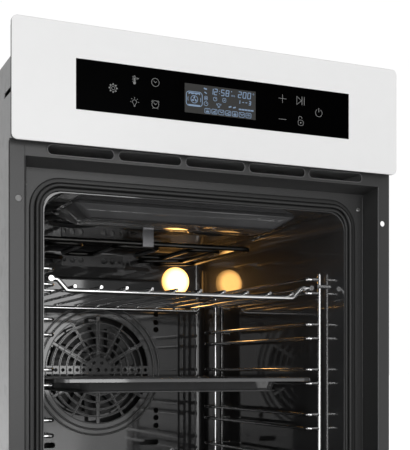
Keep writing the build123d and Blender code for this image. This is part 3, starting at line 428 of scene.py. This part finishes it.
def pick(kind, test):
    """In edit mode, select only the elements of one kind whose middle passes a test."""
    mesh = bmesh.from_edit_mesh(bpy.context.object.data)
    bpy.ops.mesh.select_mode(type=kind)
    bpy.ops.mesh.select_all(action="DESELECT")
    items = {"VERT": mesh.verts, "EDGE": mesh.edges, "FACE": mesh.faces}[kind]
    for item in items:
        points = [item.co] if kind == "VERT" else [v.co for v in item.verts]
        centre = sum(points, Vector()) / len(points)
        item.select_set(bool(test(centre)))
    mesh.select_flush_mode()
    bmesh.update_edit_mesh(bpy.context.object.data)


def face_front(piece):
    """Turn the faces of a flat piece towards the viewer, who is on the -Y side."""
    only(piece)
    edit()
    mesh = bmesh.from_edit_mesh(piece.data)
    bpy.ops.mesh.select_mode(type="FACE")
    bpy.ops.mesh.select_all(action="DESELECT")
    mesh.normal_update()
    for face in mesh.faces:
        face.select_set(face.normal.y > 0)
    bmesh.update_edit_mesh(piece.data)
    bpy.ops.mesh.flip_normals()
    leave()


def modify(piece, kind, **settings):
    """Add a modifier, set it up and apply it."""
    only(piece)
    step = piece.modifiers.new(kind.lower(), kind)
    for key, value in settings.items():
        setattr(step, key, value)
    bpy.ops.object.modifier_apply(modifier=step.name)


SHARP_EDGES = {"limit_method": "ANGLE", "angle_limit": radians(60)}


def join(parts):
    """Make several objects one."""
    bpy.ops.object.select_all(action="DESELECT")
    for part in parts:
        part.select_set(True)
    bpy.context.view_layer.objects.active = parts[0]
    if len(parts) > 1:
        bpy.ops.object.join()
    return parts[0]


def settle(piece, name, body, slot_name, smooth=35, material=None):
    """Fix a piece's place in its mesh, then give it a name, a finish and a body."""
    only(piece)
    bpy.ops.object.transform_apply(location=True, rotation=True, scale=True)
    bpy.ops.object.shade_smooth_by_angle(angle=radians(smooth))
    piece.name = name
    dress(piece, material or FINISHES[slot_name])
    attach(piece, body)
    print(name, "faces:", len(piece.data.polygons))
    return piece


# %% [markdown]
# ## Printed touch symbols
# The black strip carries ten thin grey symbols. Each is drawn with flat strokes, bars and
# rings, laid on the glass and given a little thickness, like a screen print.

# %% Strokes
LINE = 0.42
INK = 0.05
ink = {"front": 0.0}


def bar(x, z, long, wide=LINE, turn=0.0):
    """A straight stroke, centred at x and z, turned anticlockwise as seen from the front."""
    place = (x * MM, ink["front"], z * MM)
    bpy.ops.mesh.primitive_plane_add(size=1, location=place, rotation=(pi / 2, -radians(turn), 0))
    stroke = bpy.context.object
    stroke.scale = (long * MM, wide * MM, 1)
    return stroke


def line(x1, z1, x2, z2, wide=LINE):
    """A straight stroke between two points."""
    turn = degrees(atan2(z2 - z1, x2 - x1))
    return bar((x1 + x2) / 2, (z1 + z2) / 2, hypot(x2 - x1, z2 - z1), wide, turn)


def arc(x, z, radius, first=0.0, last=360.0, wide=LINE, sides=36):
    """A ring, or the part of one between two angles."""
    place = (x * MM, ink["front"], z * MM)
    inner = (radius - wide / 2) * MM
    bpy.ops.mesh.primitive_circle_add(
        vertices=sides, radius=inner, location=place, rotation=(pi / 2, 0, 0)
    )
    ring = bpy.context.object
    edit()
    if last - first < 360:
        pick("VERT", lambda p: (degrees(atan2(p.y, p.x)) - first) % 360 > last - first)
        bpy.ops.mesh.delete(type="VERT")
    bpy.ops.mesh.select_mode(type="EDGE")
    bpy.ops.mesh.select_all(action="SELECT")
    bpy.ops.mesh.extrude_edges_move()
    grow = (radius + wide / 2) / (radius - wide / 2)
    bpy.ops.transform.resize(value=(grow, grow, grow), center_override=place)
    bpy.ops.mesh.select_all(action="SELECT")
    leave()
    return ring


def dot(x, z, radius, sides=14):
    """A filled round dot."""
    place = (x * MM, ink["front"], z * MM)
    bpy.ops.mesh.primitive_circle_add(
        vertices=sides, radius=radius * MM, fill_type="NGON", location=place, rotation=(pi / 2, 0, 0)
    )
    return bpy.context.object


def outline(x, z, wide, high, corner, stroke=LINE, steps=3):
    """The outline of a rounded rectangle, with a number of steps round each corner."""
    place = (x * MM, ink["front"], z * MM)
    bpy.ops.mesh.primitive_plane_add(size=1, location=place, rotation=(pi / 2, 0, 0))
    box = bpy.context.object
    box.scale = (wide * MM, high * MM, 1)
    bpy.ops.object.transform_apply(location=False, rotation=False, scale=True)
    edit()
    bpy.ops.mesh.bevel(offset=corner * MM, affect="VERTICES", segments=steps)
    bpy.ops.mesh.inset(thickness=stroke * MM)
    bpy.ops.mesh.delete(type="FACE")
    leave()
    return box


def printed(strokes, name, slot_name, material):
    """Join strokes and give the print its thickness."""
    symbol = join(strokes)
    only(symbol)
    bpy.ops.object.transform_apply(location=True, rotation=True, scale=True)
    face_front(symbol)
    modify(symbol, "SOLIDIFY", thickness=INK * MM, offset=1.0)
    return settle(symbol, name, "oven", slot_name, smooth=1, material=material)


# %% The ten symbols
ink["front"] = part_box("display_window")[0].y + 0.005 * MM
grey_print = finish(
    "grey_print", (0.22, 0.22, 0.22), 0.6, vary=0.04, scale=800, edge=0, Specular_IOR_Level=0.1
)
window_low, window_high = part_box("display_window")
strip_mid = (window_low.z + window_high.z) / 2 / MM
UPPER = strip_mid + 11.1
LOWER = strip_mid - 11.6
FAR = 120.3
NEAR = 97.3
INNER = 74.5


def gear(x, z):
    """A toothed wheel: settings."""
    teeth = []
    for k in range(8):
        a = radians(45 * k)
        teeth += [bar(x + 4.0 * cos(a), z + 4.0 * sin(a), 1.5, 1.3, 45 * k)]
    return [arc(x, z, 3.3), arc(x, z, 1.7), *teeth]


def thermometer(x, z):
    """A stem with a bulb, a scale and a pointer: temperature."""
    ticks = [bar(x - 1.9, z + 3.2 - 1.7 * k, 1.0, 0.45) for k in range(4)]
    stem = outline(x, z + 0.9, 1.9, 6.8, 0.9, 0.5)
    pointer = [
        bar(x + 3.0, z + 2.0, 3.0, 0.5),
        bar(x + 2.6, z + 0.6, 0.9, 0.5, 70),
        bar(x + 3.9, z + 1.6, 1.2, 0.5),
    ]
    return [stem, dot(x, z - 3.1, 1.5), bar(x, z - 0.5, 4.6, 0.6, 90), *ticks, *pointer]


def bulb(x, z):
    """A light bulb with five rays: light."""
    rays = []
    for k in range(5):
        across, up = cos(radians(45 * k)), sin(radians(45 * k))
        rays += [line(x + 3.5 * across, z + 3.5 * up, x + 4.8 * across, z + 4.8 * up, 0.45)]
    neck = [line(x + s * 1.5, z - 1.6, x + s * 0.8, z - 3.0) for s in (-1, 1)]
    foot = [bar(x, z - 3.6, 1.8, 0.5), bar(x, z - 4.5, 1.6, 0.5)]
    return [arc(x, z, 2.2, -45, 225), *neck, *foot, *rays]


def clock(x, z, radius=4.2):
    """A dial with two hands: time."""
    hands = [line(x, z - 0.4, x - 1.9, z + 1.6), line(x, z - 0.4, x + 1.5, z + 0.9)]
    return [arc(x, z, radius), *hands]


def alarm(x, z):
    """A clock with two bells and two feet: timer."""
    bells = [line(x + s * 4.4, z + 2.4, x + s * 2.6, z + 4.2) for s in (-1, 1)]
    feet = [line(x + s * 3.1, z - 4.6, x + s * 2.3, z - 3.6) for s in (-1, 1)]
    return [*clock(x, z, 3.8), *bells, *feet, bar(x, z - 3.9, 3.4, 0.5)]


def play(x, z):
    """A triangle and two bars: start and pause."""
    back = line(x - 5.0, z - 4.6, x - 5.0, z + 4.6)
    slopes = [line(x - 5.0, z + s * 4.6, x + 1.0, z) for s in (-1, 1)]
    return [back, *slopes, bar(x + 1.6, z, 9.2, 0.6, 90), bar(x + 4.4, z, 9.2, 0.6, 90)]


def padlock(x, z):
    """An open padlock: child lock."""
    hoop = [
        arc(x - 0.6, z + 3.4, 2.0, 0, 180),
        line(x - 2.6, z + 3.4, x - 2.6, z + 1.6),
        line(x + 1.4, z + 3.4, x + 1.4, z + 2.8),
    ]
    return [outline(x, z - 1.6, 7.0, 6.4, 2.4), dot(x, z - 1.6, 0.8), *hoop]


def power(x, z):
    """A broken ring with a stroke: on and off."""
    return [arc(x, z, 4.2, -240, 60), bar(x, z + 3.2, 4.4, 0.6, 90)]


symbols = {
    "touch_settings": gear(-FAR, strip_mid),
    "touch_temperature": thermometer(-NEAR, UPPER),
    "touch_light": bulb(-NEAR, LOWER),
    "touch_clock": clock(-INNER, UPPER),
    "touch_alarm": alarm(-INNER, LOWER),
    "touch_more": [bar(INNER, UPPER, 9.6), bar(INNER, UPPER, 9.6, LINE, 90)],
    "touch_less": [bar(INNER, LOWER, 9.6)],
    "touch_start": play(NEAR, UPPER),
    "touch_lock": padlock(NEAR, LOWER),
    "touch_power": power(FAR, strip_mid),
}
for name, strokes in symbols.items():
    printed(strokes, name, "black_glass", grey_print)

# %% [markdown]
# ## The display's glowing signs
# The display is a dark glass with pale blue signs: a mode picture, the time, the temperature,
# and a row of small boxes. Numerals are made of seven bars, as on a real display.

# %% Numerals
lcd_low, lcd_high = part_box("lcd_screen")
ink["front"] = lcd_low.y + 0.005 * MM
LCD_BASE = lcd_low.z / MM
LCD_TOP = lcd_high.z / MM
BARS = {
    "0": "abcdef",
    "1": "bc",
    "2": "abdeg",
    "3": "abcdg",
    "5": "acdfg",
    "8": "abcdefg",
    "-": "g",
}
LEAN = 0.10


def numeral(char, x, z, high):
    """One seven-bar numeral that leans a little."""
    half = high / 2
    side = high * 0.27
    gap = 0.92
    ends = {
        "a": (-side, half, side, half),
        "b": (side, half, side, 0),
        "c": (side, 0, side, -half),
        "d": (-side, -half, side, -half),
        "e": (-side, 0, -side, -half),
        "f": (-side, half, -side, 0),
        "g": (-side, 0, side, 0),
    }
    strokes = []
    for key in BARS[char]:
        x1, z1, x2, z2 = [v * gap for v in ends[key]]
        strokes += [line(x + x1 + LEAN * z1, z + z1, x + x2 + LEAN * z2, z + z2, 0.85)]
    return strokes


def number(text, places, z, high):
    """A row of numerals, each at its own place."""
    return [stroke for char, x in zip(text, places) for stroke in numeral(char, x, z, high)]


signs = number("12", (-10.6, -5.8), LCD_TOP - 5.6, 6.6)
signs += number("58", (2.4, 7.9), LCD_TOP - 5.6, 6.6)
signs += [dot(-1.5, LCD_TOP - 4.4, 0.5), dot(-1.5, LCD_TOP - 6.9, 0.5)]
signs += [dot(12.8, LCD_TOP - 3.2, 0.6)]
signs += number("200", (22.6, 28.2, 33.8), LCD_TOP - 5.4, 6.8)
signs += [arc(38.9, LCD_TOP - 3.2, 0.7, wide=0.4, sides=12)]
signs += number("1--3", (21.6, 26.6, 30.4, 34.6), LCD_TOP - 13.2, 4.2)
signs += [bar(13.0 + k, LCD_TOP - 7.6, 1.6, 0.45, 90) for k in (0.0, 1.0, 2.4, 3.4)]
print("numeral strokes:", len(signs))

# %% Pictures on the display
MODE_X = -30.6
MODE_Z = LCD_BASE + 15.0
signs += [outline(MODE_X, MODE_Z, 19.0, 15.8, 3.6, 0.7)]
for k in range(6):
    x = MODE_X - 6.6 + 2.2 * k
    first, last = (6.2, 4.9) if k % 2 else (4.9, 6.2)
    signs += [line(x, MODE_Z + first, x + 2.2, MODE_Z + last, 0.9)]
signs += [bar(MODE_X, MODE_Z + 6.2, 13.2, 0.9), bar(MODE_X, MODE_Z - 6.6, 13.6, 1.2)]
signs += [arc(MODE_X, MODE_Z - 0.4, 3.9, wide=0.6)]
for k in range(3):
    a = radians(90 + 120 * k)
    signs += [bar(MODE_X + 1.9 * cos(a), MODE_Z - 0.4 + 1.9 * sin(a), 2.6, 1.5, 120 * k + 60)]
for s, mid in ((-1, 180), (1, 0)):
    signs += [arc(MODE_X + s * 1.2, MODE_Z - 0.4, 6.2, mid - 24, mid + 24, 0.6)]
signs += [bar(-17.9, LCD_TOP - 3.6, 3.6, 1.5, -12), bar(-17.6, LCD_TOP - 7.8, 3.0, 1.2, -30)]
signs += [outline(-17.2, LCD_TOP - 13.4, 3.8, 4.4, 1.2, 0.5), dot(-17.2, LCD_TOP - 13.4, 0.9)]
signs += [arc(-17.2, LCD_BASE + 11.4, 2.2, wide=0.5, sides=20)]
signs += [line(-17.2, LCD_BASE + 11.4, -16.2, LCD_BASE + 12.6, 0.6)]
signs += [outline(-6.5, LCD_TOP - 13.2, 4.4, 4.4, 1.6, 0.5)]
signs += [line(-6.5, LCD_TOP - 13.2, -5.4, LCD_TOP - 12.2, 0.6)]
signs += [outline(4.2, LCD_TOP - 13.4, 4.2, 4.6, 1.2, 0.5), dot(4.2, LCD_TOP - 13.4, 0.7)]
signs += [arc(-2.3, LCD_BASE + 11.6, 1.5, 0, 360, 0.5, 16), bar(-2.3, LCD_BASE + 9.2, 2.4, 0.7)]
signs += [arc(-4.1, LCD_BASE + 12.2, 0.8, 60, 260, 0.5, 12)]
signs += [arc(-0.5, LCD_BASE + 12.2, 0.8, -80, 120, 0.5, 12)]
signs += [bar(11.0, LCD_BASE + 11.0, 3.4, 1.4, 15), bar(16.2, LCD_BASE + 10.8, 3.4, 1.4, 15)]
signs += [bar(23.0 + 3.6 * k, LCD_BASE + 9.6, 3.2, 1.6) for k in range(5)]
print("all strokes:", len(signs))

# %% The row of small boxes
BOX_Z = LCD_BASE + 4.0
BOX_PITCH = 8.05
for k in range(7):
    x = -15.4 + BOX_PITCH * k
    signs += [outline(x, BOX_Z, 6.8, 5.6, 1.2, 0.55)]
    if k in (0, 4):
        signs += [bar(x, BOX_Z - 0.9, 3.4, 1.5), bar(x, BOX_Z + 0.9, 2.4, 0.6)]
    elif k in (1, 3):
        signs += [line(x - 2.2, BOX_Z - 1.2, x + 2.2, BOX_Z + 1.4, 0.8)]
        signs += [bar(x + 0.8, BOX_Z - 1.3, 2.6, 0.8)]
    elif k in (2, 5):
        signs += [line(x - 2.0, BOX_Z + 1.4, x + 0.4, BOX_Z - 0.6, 0.7)]
        signs += [line(x + 0.4, BOX_Z - 0.6, x + 2.4, BOX_Z + 1.2, 0.7)]
    else:
        signs += [arc(x, BOX_Z - 0.9, 1.9, 0, 180, 0.5, 20), dot(x, BOX_Z - 0.3, 0.6)]
pale_blue = glowing("pale_blue_sign", (0.27, 0.40, 0.60), 0.62)
printed(signs, "display_signs", "lcd", pale_blue)

# %% [markdown]
# ## Door seal
# The seal round the cavity mouth is a rubber profile: a thin outer skirt that clips to the
# frame, a round bulb that the door squeezes, and a small inner lip. Each is a closed loop
# that starts as a rounded outline, gets its depth and then its round edges.

# %% Seal
gasket_low, gasket_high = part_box("door_gasket")
SEAL_X = gasket_high.x / MM
SEAL_Z = (gasket_low.z + gasket_high.z) / 2 / MM
SEAL_TALL = (gasket_high.z - gasket_low.z) / MM
SEAL_FRONT = gasket_low.y / MM
SEAL_BACK = gasket_high.y / MM


def loop(inwards, wide, front, back, corner, roundness):
    """A closed rounded loop that lies inwards from the seal's outer edge."""
    ink["front"] = back * MM
    edge = outline(0, SEAL_Z, 2 * (SEAL_X - inwards), SEAL_TALL - 2 * inwards, corner, wide, 14)
    only(edge)
    bpy.ops.object.transform_apply(location=True, rotation=True, scale=True)
    face_front(edge)
    modify(edge, "SOLIDIFY", thickness=(back - front) * MM, offset=1.0)
    modify(edge, "BEVEL", width=roundness * MM, segments=4, **SHARP_EDGES)
    return edge


seal = [
    loop(0.0, 5.2, SEAL_BACK - 2.2, SEAL_BACK, 33, 0.9),
    loop(4.8, 5.2, SEAL_FRONT + 0.2, SEAL_BACK, 28, 2.3),
    loop(10.0, 4.2, SEAL_BACK - 3.4, SEAL_BACK, 23, 1.4),
]
seal = join(seal)
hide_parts("door_gasket")
settle(seal, "door_seal", "oven", "gasket_rubber", smooth=50)

# %% [markdown]
# ## Slot rims and folded flange edges
# Every cooling slot is punched with a small raised rim, and the flanges are folded back at
# their outer edge. Both are narrow. The rims and the beads along the flange edges take a lighter
# finish, a painted highlight; the folds take near-black rubber, a painted shade; and a dark strip
# at the left flange's inner edge is painted shade in the gap.

# %% Vent rims
flange_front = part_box("flange_left")[0].y
SLOT_PITCH = 75.0
SLOT_Z = 469.3
ink["front"] = flange_front + 0.02 * MM
rims = [outline(SLOT_PITCH * k, SLOT_Z, 71.6, 12.0, 5.9, 1.4, 8) for k in range(-2, 3)]
rims = join(rims)
only(rims)
bpy.ops.object.transform_apply(location=True, rotation=True, scale=True)
face_front(rims)
modify(rims, "SOLIDIFY", thickness=0.9 * MM, offset=1.0)
modify(rims, "BEVEL", width=0.3 * MM, segments=2, **SHARP_EDGES)
# The rims take the lighter rim finish: a painted highlight along the slot edges.
settle(rims, "vent_slot_rims", "oven", "black_paint", smooth=50, material=rim_paint_painted_highlight)


# %% Flange folds
def strip(x, z_low, z_high, wide, y_front, y_back, roundness=0.4):
    """An upright strip with softened edges: a fold of sheet, a bead, or a dark strip of painted
    shade.
    """
    centre = (x * MM, (y_front + y_back) / 2 * MM, (z_low + z_high) / 2 * MM)
    bpy.ops.mesh.primitive_cube_add(size=1, location=centre)
    fold = bpy.context.object
    fold.scale = (wide * MM, (y_back - y_front) * MM, (z_high - z_low) * MM)
    only(fold)
    bpy.ops.object.transform_apply(location=True, rotation=True, scale=True)
    edit()
    pick("FACE", lambda p: abs(p.z - z_high * MM) < 0.01 * MM)
    bpy.ops.mesh.extrude_region_move(TRANSFORM_OT_translate={"value": (0, 0, 0.5 * MM)})
    bpy.ops.mesh.select_all(action="SELECT")
    leave()
    modify(fold, "BEVEL", width=roundness * MM, segments=2, **SHARP_EDGES)
    return fold


flange_low, flange_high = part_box("flange_left")
FOLD_X = -flange_low.x / MM
FOLD = 1.2
RECESS = 31.0
folds = [
    strip(s * (FOLD_X - FOLD / 2), flange_low.z / MM + 1, flange_high.z / MM - 2, FOLD, -1.1, 4.0)
    for s in (-1, 1)
]
# The folds are real, but they take near-black rubber instead of the flange's paint: painted shade
# along the outer edges.
settle(join(folds), "flange_folds", "oven", "gasket_rubber")
EDGE_X = -flange_high.x / MM
EDGE_LOW = flange_low.z / MM + 1
# A dark rubber strip at the left flange's inner edge: painted shade in the gap between flange and
# recess, not a real seal.
gap_painted_shade = strip(-EDGE_X + 0.4, EDGE_LOW, 460.0, 2.0, -1.6, -0.2, 0.5)
settle(gap_painted_shade, "flange_gap_painted_shade", "oven", "gasket_rubber")
edges = [strip(EDGE_X, EDGE_LOW, 460.0, 0.9, -1.6, -0.2, 0.3)]
edges += [strip(s * 206.9, EDGE_LOW, 452.0, 0.9, RECESS - 1.0, RECESS, 0.3) for s in (-1, 1)]
# The beads take the lighter rim finish: a painted highlight along the flange and recess edges.
settle(join(edges), "flange_edge_beads", "oven", "black_paint", material=rim_paint_painted_highlight)

# %% [markdown]
# ## Grille ribs
# The fan grille is pressed: each ring of slots has a raised round edge between it and the
# next one, and ribs run out from the hub. A small round profile is spun about the hub for
# the rings, and straight round ribs are laid along the spokes, half sunk in the sheet.

# %% Rings and spokes
HUB_Z = 247.4
BAFFLE_FRONT = 420.0
RIB_RINGS = (26.5, 37.0, 47.65, 58.35, 69.05, 79.4)
SPOKES = 12
RIB_THICK = 0.6


def profile(radius, x, y, z, turn=(0, 0, 0), sides=10):
    """A small round outline, the start of a spun or extruded rib."""
    bpy.ops.mesh.primitive_circle_add(
        vertices=sides, radius=radius * MM, location=(x * MM, y * MM, z * MM), rotation=turn
    )
    piece = bpy.context.object
    only(piece)
    bpy.ops.object.transform_apply(location=True, rotation=True, scale=True)
    return piece


def spun(radius, centre, thick, steps, axis=(0, 1, 0)):
    """A ring: a round profile carried once round a centre."""
    cx, cy, cz = centre
    rib = profile(thick, cx + radius, cy, cz, (pi / 2, 0, 0) if axis[2] else (0, 0, 0))
    edit()
    bpy.ops.mesh.select_all(action="SELECT")
    bpy.ops.mesh.spin(
        steps=steps, angle=radians(360), center=(cx * MM, cy * MM, cz * MM), axis=axis
    )
    bpy.ops.mesh.select_all(action="SELECT")
    bpy.ops.mesh.remove_doubles(threshold=0.01 * MM)
    bpy.ops.mesh.normals_make_consistent(inside=False)
    leave()
    return rib


def spoke(angle, start, end, thick):
    """A straight round rib that runs out from the hub."""
    a = radians(angle)
    x, z = start * cos(a), HUB_Z + start * sin(a)
    bpy.ops.mesh.primitive_circle_add(
        vertices=8,
        radius=thick * MM,
        fill_type="NGON",
        location=(x * MM, BAFFLE_FRONT * MM, z * MM),
        rotation=(0, pi / 2 - a, 0),
    )
    rib = bpy.context.object
    only(rib)
    bpy.ops.object.transform_apply(location=True, rotation=True, scale=True)
    edit()
    bpy.ops.mesh.select_all(action="SELECT")
    run = ((end - start) * cos(a) * MM, 0, (end - start) * sin(a) * MM)
    bpy.ops.mesh.extrude_region_move(TRANSFORM_OT_translate={"value": run})
    bpy.ops.mesh.select_all(action="SELECT")
    bpy.ops.mesh.normals_make_consistent(inside=False)
    leave()
    return rib


ribs = [spun(r, (0, BAFFLE_FRONT, HUB_Z), RIB_THICK, 72) for r in RIB_RINGS]
for k in range(SPOKES):
    angle = 360 / SPOKES * k
    if angle % 180:
        reach = 1.6 if angle % 60 == 30 else 0.0
        shift = degrees(reach / 50)
        turns = (angle - shift, angle + shift) if reach else (angle,)
        ribs += [spoke(t, 19.0, 78.5, RIB_THICK) for t in turns]
# The ribs take the lighter rib finish: a painted highlight along the pressed edges.
settle(join(ribs), "grille_ribs", "oven", "black_enamel", smooth=50, material=rib_enamel_painted_highlight)

# %% Grille rims
RIM_RADII = (87.5, 95.5)
rim_rings = [spun(r, (0, BAFFLE_FRONT - 1.2, HUB_Z), 1.5, 96) for r in RIM_RADII]
# The rims take the same lighter finish, a painted highlight.
settle(join(rim_rings), "grille_rims", "oven", "black_enamel", smooth=50, material=rib_enamel_painted_highlight)

# %% [markdown]
# ## Pressed beads in the cavity ceiling
# Long flat enamelled sheet would drum, so the ceiling has curved beads pressed downwards
# behind the front bulge. Each bead is a round profile spun into a ring, cut off flush with
# the ceiling, and given the thickness of sheet.

# %% Ceiling beads
CEILING = 432.4
BEAD_RADIUS = 38.0
BEAD_Y = 205.0
beads = []
for x in (-96, 0, 96):
    bead = spun(BEAD_RADIUS, (x, BEAD_Y, CEILING + 4.0), 8.0, 32, axis=(0, 0, 1))
    edit()
    bpy.ops.mesh.select_all(action="SELECT")
    bpy.ops.mesh.bisect(
        plane_co=(0, 0, (CEILING - 0.2) * MM), plane_no=(0, 0, 1), clear_outer=True
    )
    leave()
    modify(bead, "SOLIDIFY", thickness=0.6 * MM, offset=1.0)
    beads.append(bead)
settle(join(beads), "ceiling_beads", "oven", "black_enamel", smooth=50)

# %% [markdown]
# ## Ceiling pan
# The bulge at the front of the ceiling is deep-drawn: its foot and its lower rim are round.
# A block is drawn in towards its lower face, then the sloping and the lower edges are rounded.

# %% Pan
PAN_DROP = 16.4
PAN_TOP = (281.0, 101.0)
PAN_FOOT = (231.0, 56.0)
bpy.ops.mesh.primitive_cube_add(size=1, location=(0, 115 * MM, (CEILING - PAN_DROP / 2) * MM))
pan = bpy.context.object
pan.scale = (PAN_TOP[0] * MM, PAN_TOP[1] * MM, PAN_DROP * MM)
only(pan)
bpy.ops.object.transform_apply(location=True, rotation=True, scale=True)
edit()
pick("FACE", lambda p: p.z < (CEILING - PAN_DROP + 1) * MM)
bpy.ops.transform.resize(
    value=(PAN_FOOT[0] / PAN_TOP[0], PAN_FOOT[1] / PAN_TOP[1], 1),
    center_override=(0, 110 * MM, (CEILING - PAN_DROP) * MM),
)
bpy.ops.mesh.select_all(action="SELECT")
leave()
modify(pan, "BEVEL", width=5.5 * MM, segments=5, limit_method="ANGLE", angle_limit=radians(20))
# The pan takes a lighter enamel than the ceiling round it: a painted sheen on the bulge.
settle(pan, "ceiling_pan", "oven", "black_enamel", smooth=60, material=pan_enamel_painted_sheen)

# %% [markdown]
# ## Tray fold
# The tray body is drawn from one sheet, so a round fold runs round its foot. A flat loop is
# given a small height and rounded edges, and it slides with the tray.

# %% Fold round the tray's foot
tray_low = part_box("baking_tray")[0]
TRAY_BODY = (245.0, 275.0)
TRAY_MIDDLE = 222.5
bpy.ops.mesh.primitive_plane_add(size=1, location=(0, TRAY_MIDDLE * MM, tray_low.z + 0.9 * MM))
foot = bpy.context.object
foot.scale = (TRAY_BODY[0] * MM, TRAY_BODY[1] * MM, 1)
only(foot)
bpy.ops.object.transform_apply(location=True, rotation=True, scale=True)
edit()
bpy.ops.mesh.bevel(offset=14 * MM, affect="VERTICES", segments=8)
bpy.ops.mesh.inset(thickness=2.0 * MM)
bpy.ops.mesh.delete(type="FACE")
leave()
modify(foot, "SOLIDIFY", thickness=1.8 * MM, offset=0.0)
modify(foot, "BEVEL", width=0.7 * MM, segments=3, **SHARP_EDGES)
# The fold takes the lighter rim finish: a painted highlight round the tray's foot.
settle(foot, "tray_foot_fold", "tray", "tray_enamel", smooth=60, material=rim_paint_painted_highlight)

# %% [markdown]
# ## Screws
# Pan-head screws hold the casing, the rear baffle and the front frame. One head is shaped
# once, with a rounded rim and a cross recess cut by two crossed bars, and copied to every place.


# %% One screw head
def screw_head(radius, high):
    """A pan head with a cross recess that faces +Z, its seat at the origin."""
    bpy.ops.mesh.primitive_cylinder_add(
        vertices=24, radius=radius * MM, depth=high * MM, location=(0, 0, high / 2 * MM)
    )
    head = bpy.context.object
    modify(head, "BEVEL", width=high * 0.55 * MM, segments=3, **SHARP_EDGES)
    cutters = []
    for long, wide in ((1.1, 0.28), (0.28, 1.1)):
        bpy.ops.mesh.primitive_cube_add(size=1, location=(0, 0, high * MM))
        cutter = bpy.context.object
        cutter.scale = (radius * long * MM, radius * wide * MM, high * MM)
        cutters.append(cutter)
    for cutter in cutters:
        only(cutter)
        bpy.ops.object.transform_apply(location=True, rotation=True, scale=True)
        modify(head, "BOOLEAN", object=cutter, operation="DIFFERENCE", solver="EXACT")
        bpy.data.objects.remove(cutter)
    return head


def place_copies(model, spots):
    """Copy a head to each (place in mm, rotation) with a mesh of its own."""
    copies = []
    for place, turn in spots:
        only(model)
        bpy.ops.object.duplicate()
        copy = bpy.context.object
        copy.location = [v * MM for v in place]
        copy.rotation_euler = turn
        copies.append(copy)
    bpy.data.objects.remove(model)
    return join(copies)


# %% All the screws
case_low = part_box("side_panel_left")[0]
CASE_X = -case_low.x / MM
REAR_PLATE = 531.2
FACE_BACK = (-pi / 2, 0, 0)
FACE_FRONT = (pi / 2, 0, 0)
spots = [((x, REAR_PLATE, z), FACE_BACK) for x in (-198, 198) for z in (40.0, 300.0, 555.0)]
spots += [((s * CASE_X, y, 558.0), (0, s * pi / 2, 0)) for s in (-1, 1) for y in (28.0, 500.0)]
case_heads = place_copies(screw_head(3.6, 2.0), spots)
BAFFLE_SCREWS = ((-118, 125), (118, 125), (-118, 371), (84, 366))
spots = [((x, BAFFLE_FRONT, z), FACE_FRONT) for x, z in BAFFLE_SCREWS]
baffle_heads = place_copies(screw_head(4.2, 2.0), spots)
settle(case_heads, "case_screw_heads", "oven", "zinc_steel", smooth=40)
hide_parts("baffle_screws")
settle(baffle_heads, "baffle_screw_heads", "oven", "zinc_steel", smooth=40)

# %% Screws of the front frame
spots = [((s * 201.0, RECESS, z), FACE_FRONT) for s in (-1, 1) for z in (54.0, 438.5)]
frame_heads = place_copies(screw_head(2.6, 1.6), spots)
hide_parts("case_screws")
settle(frame_heads, "frame_screw_heads", "oven", "zinc_steel", smooth=40)

# %% The last line
import json
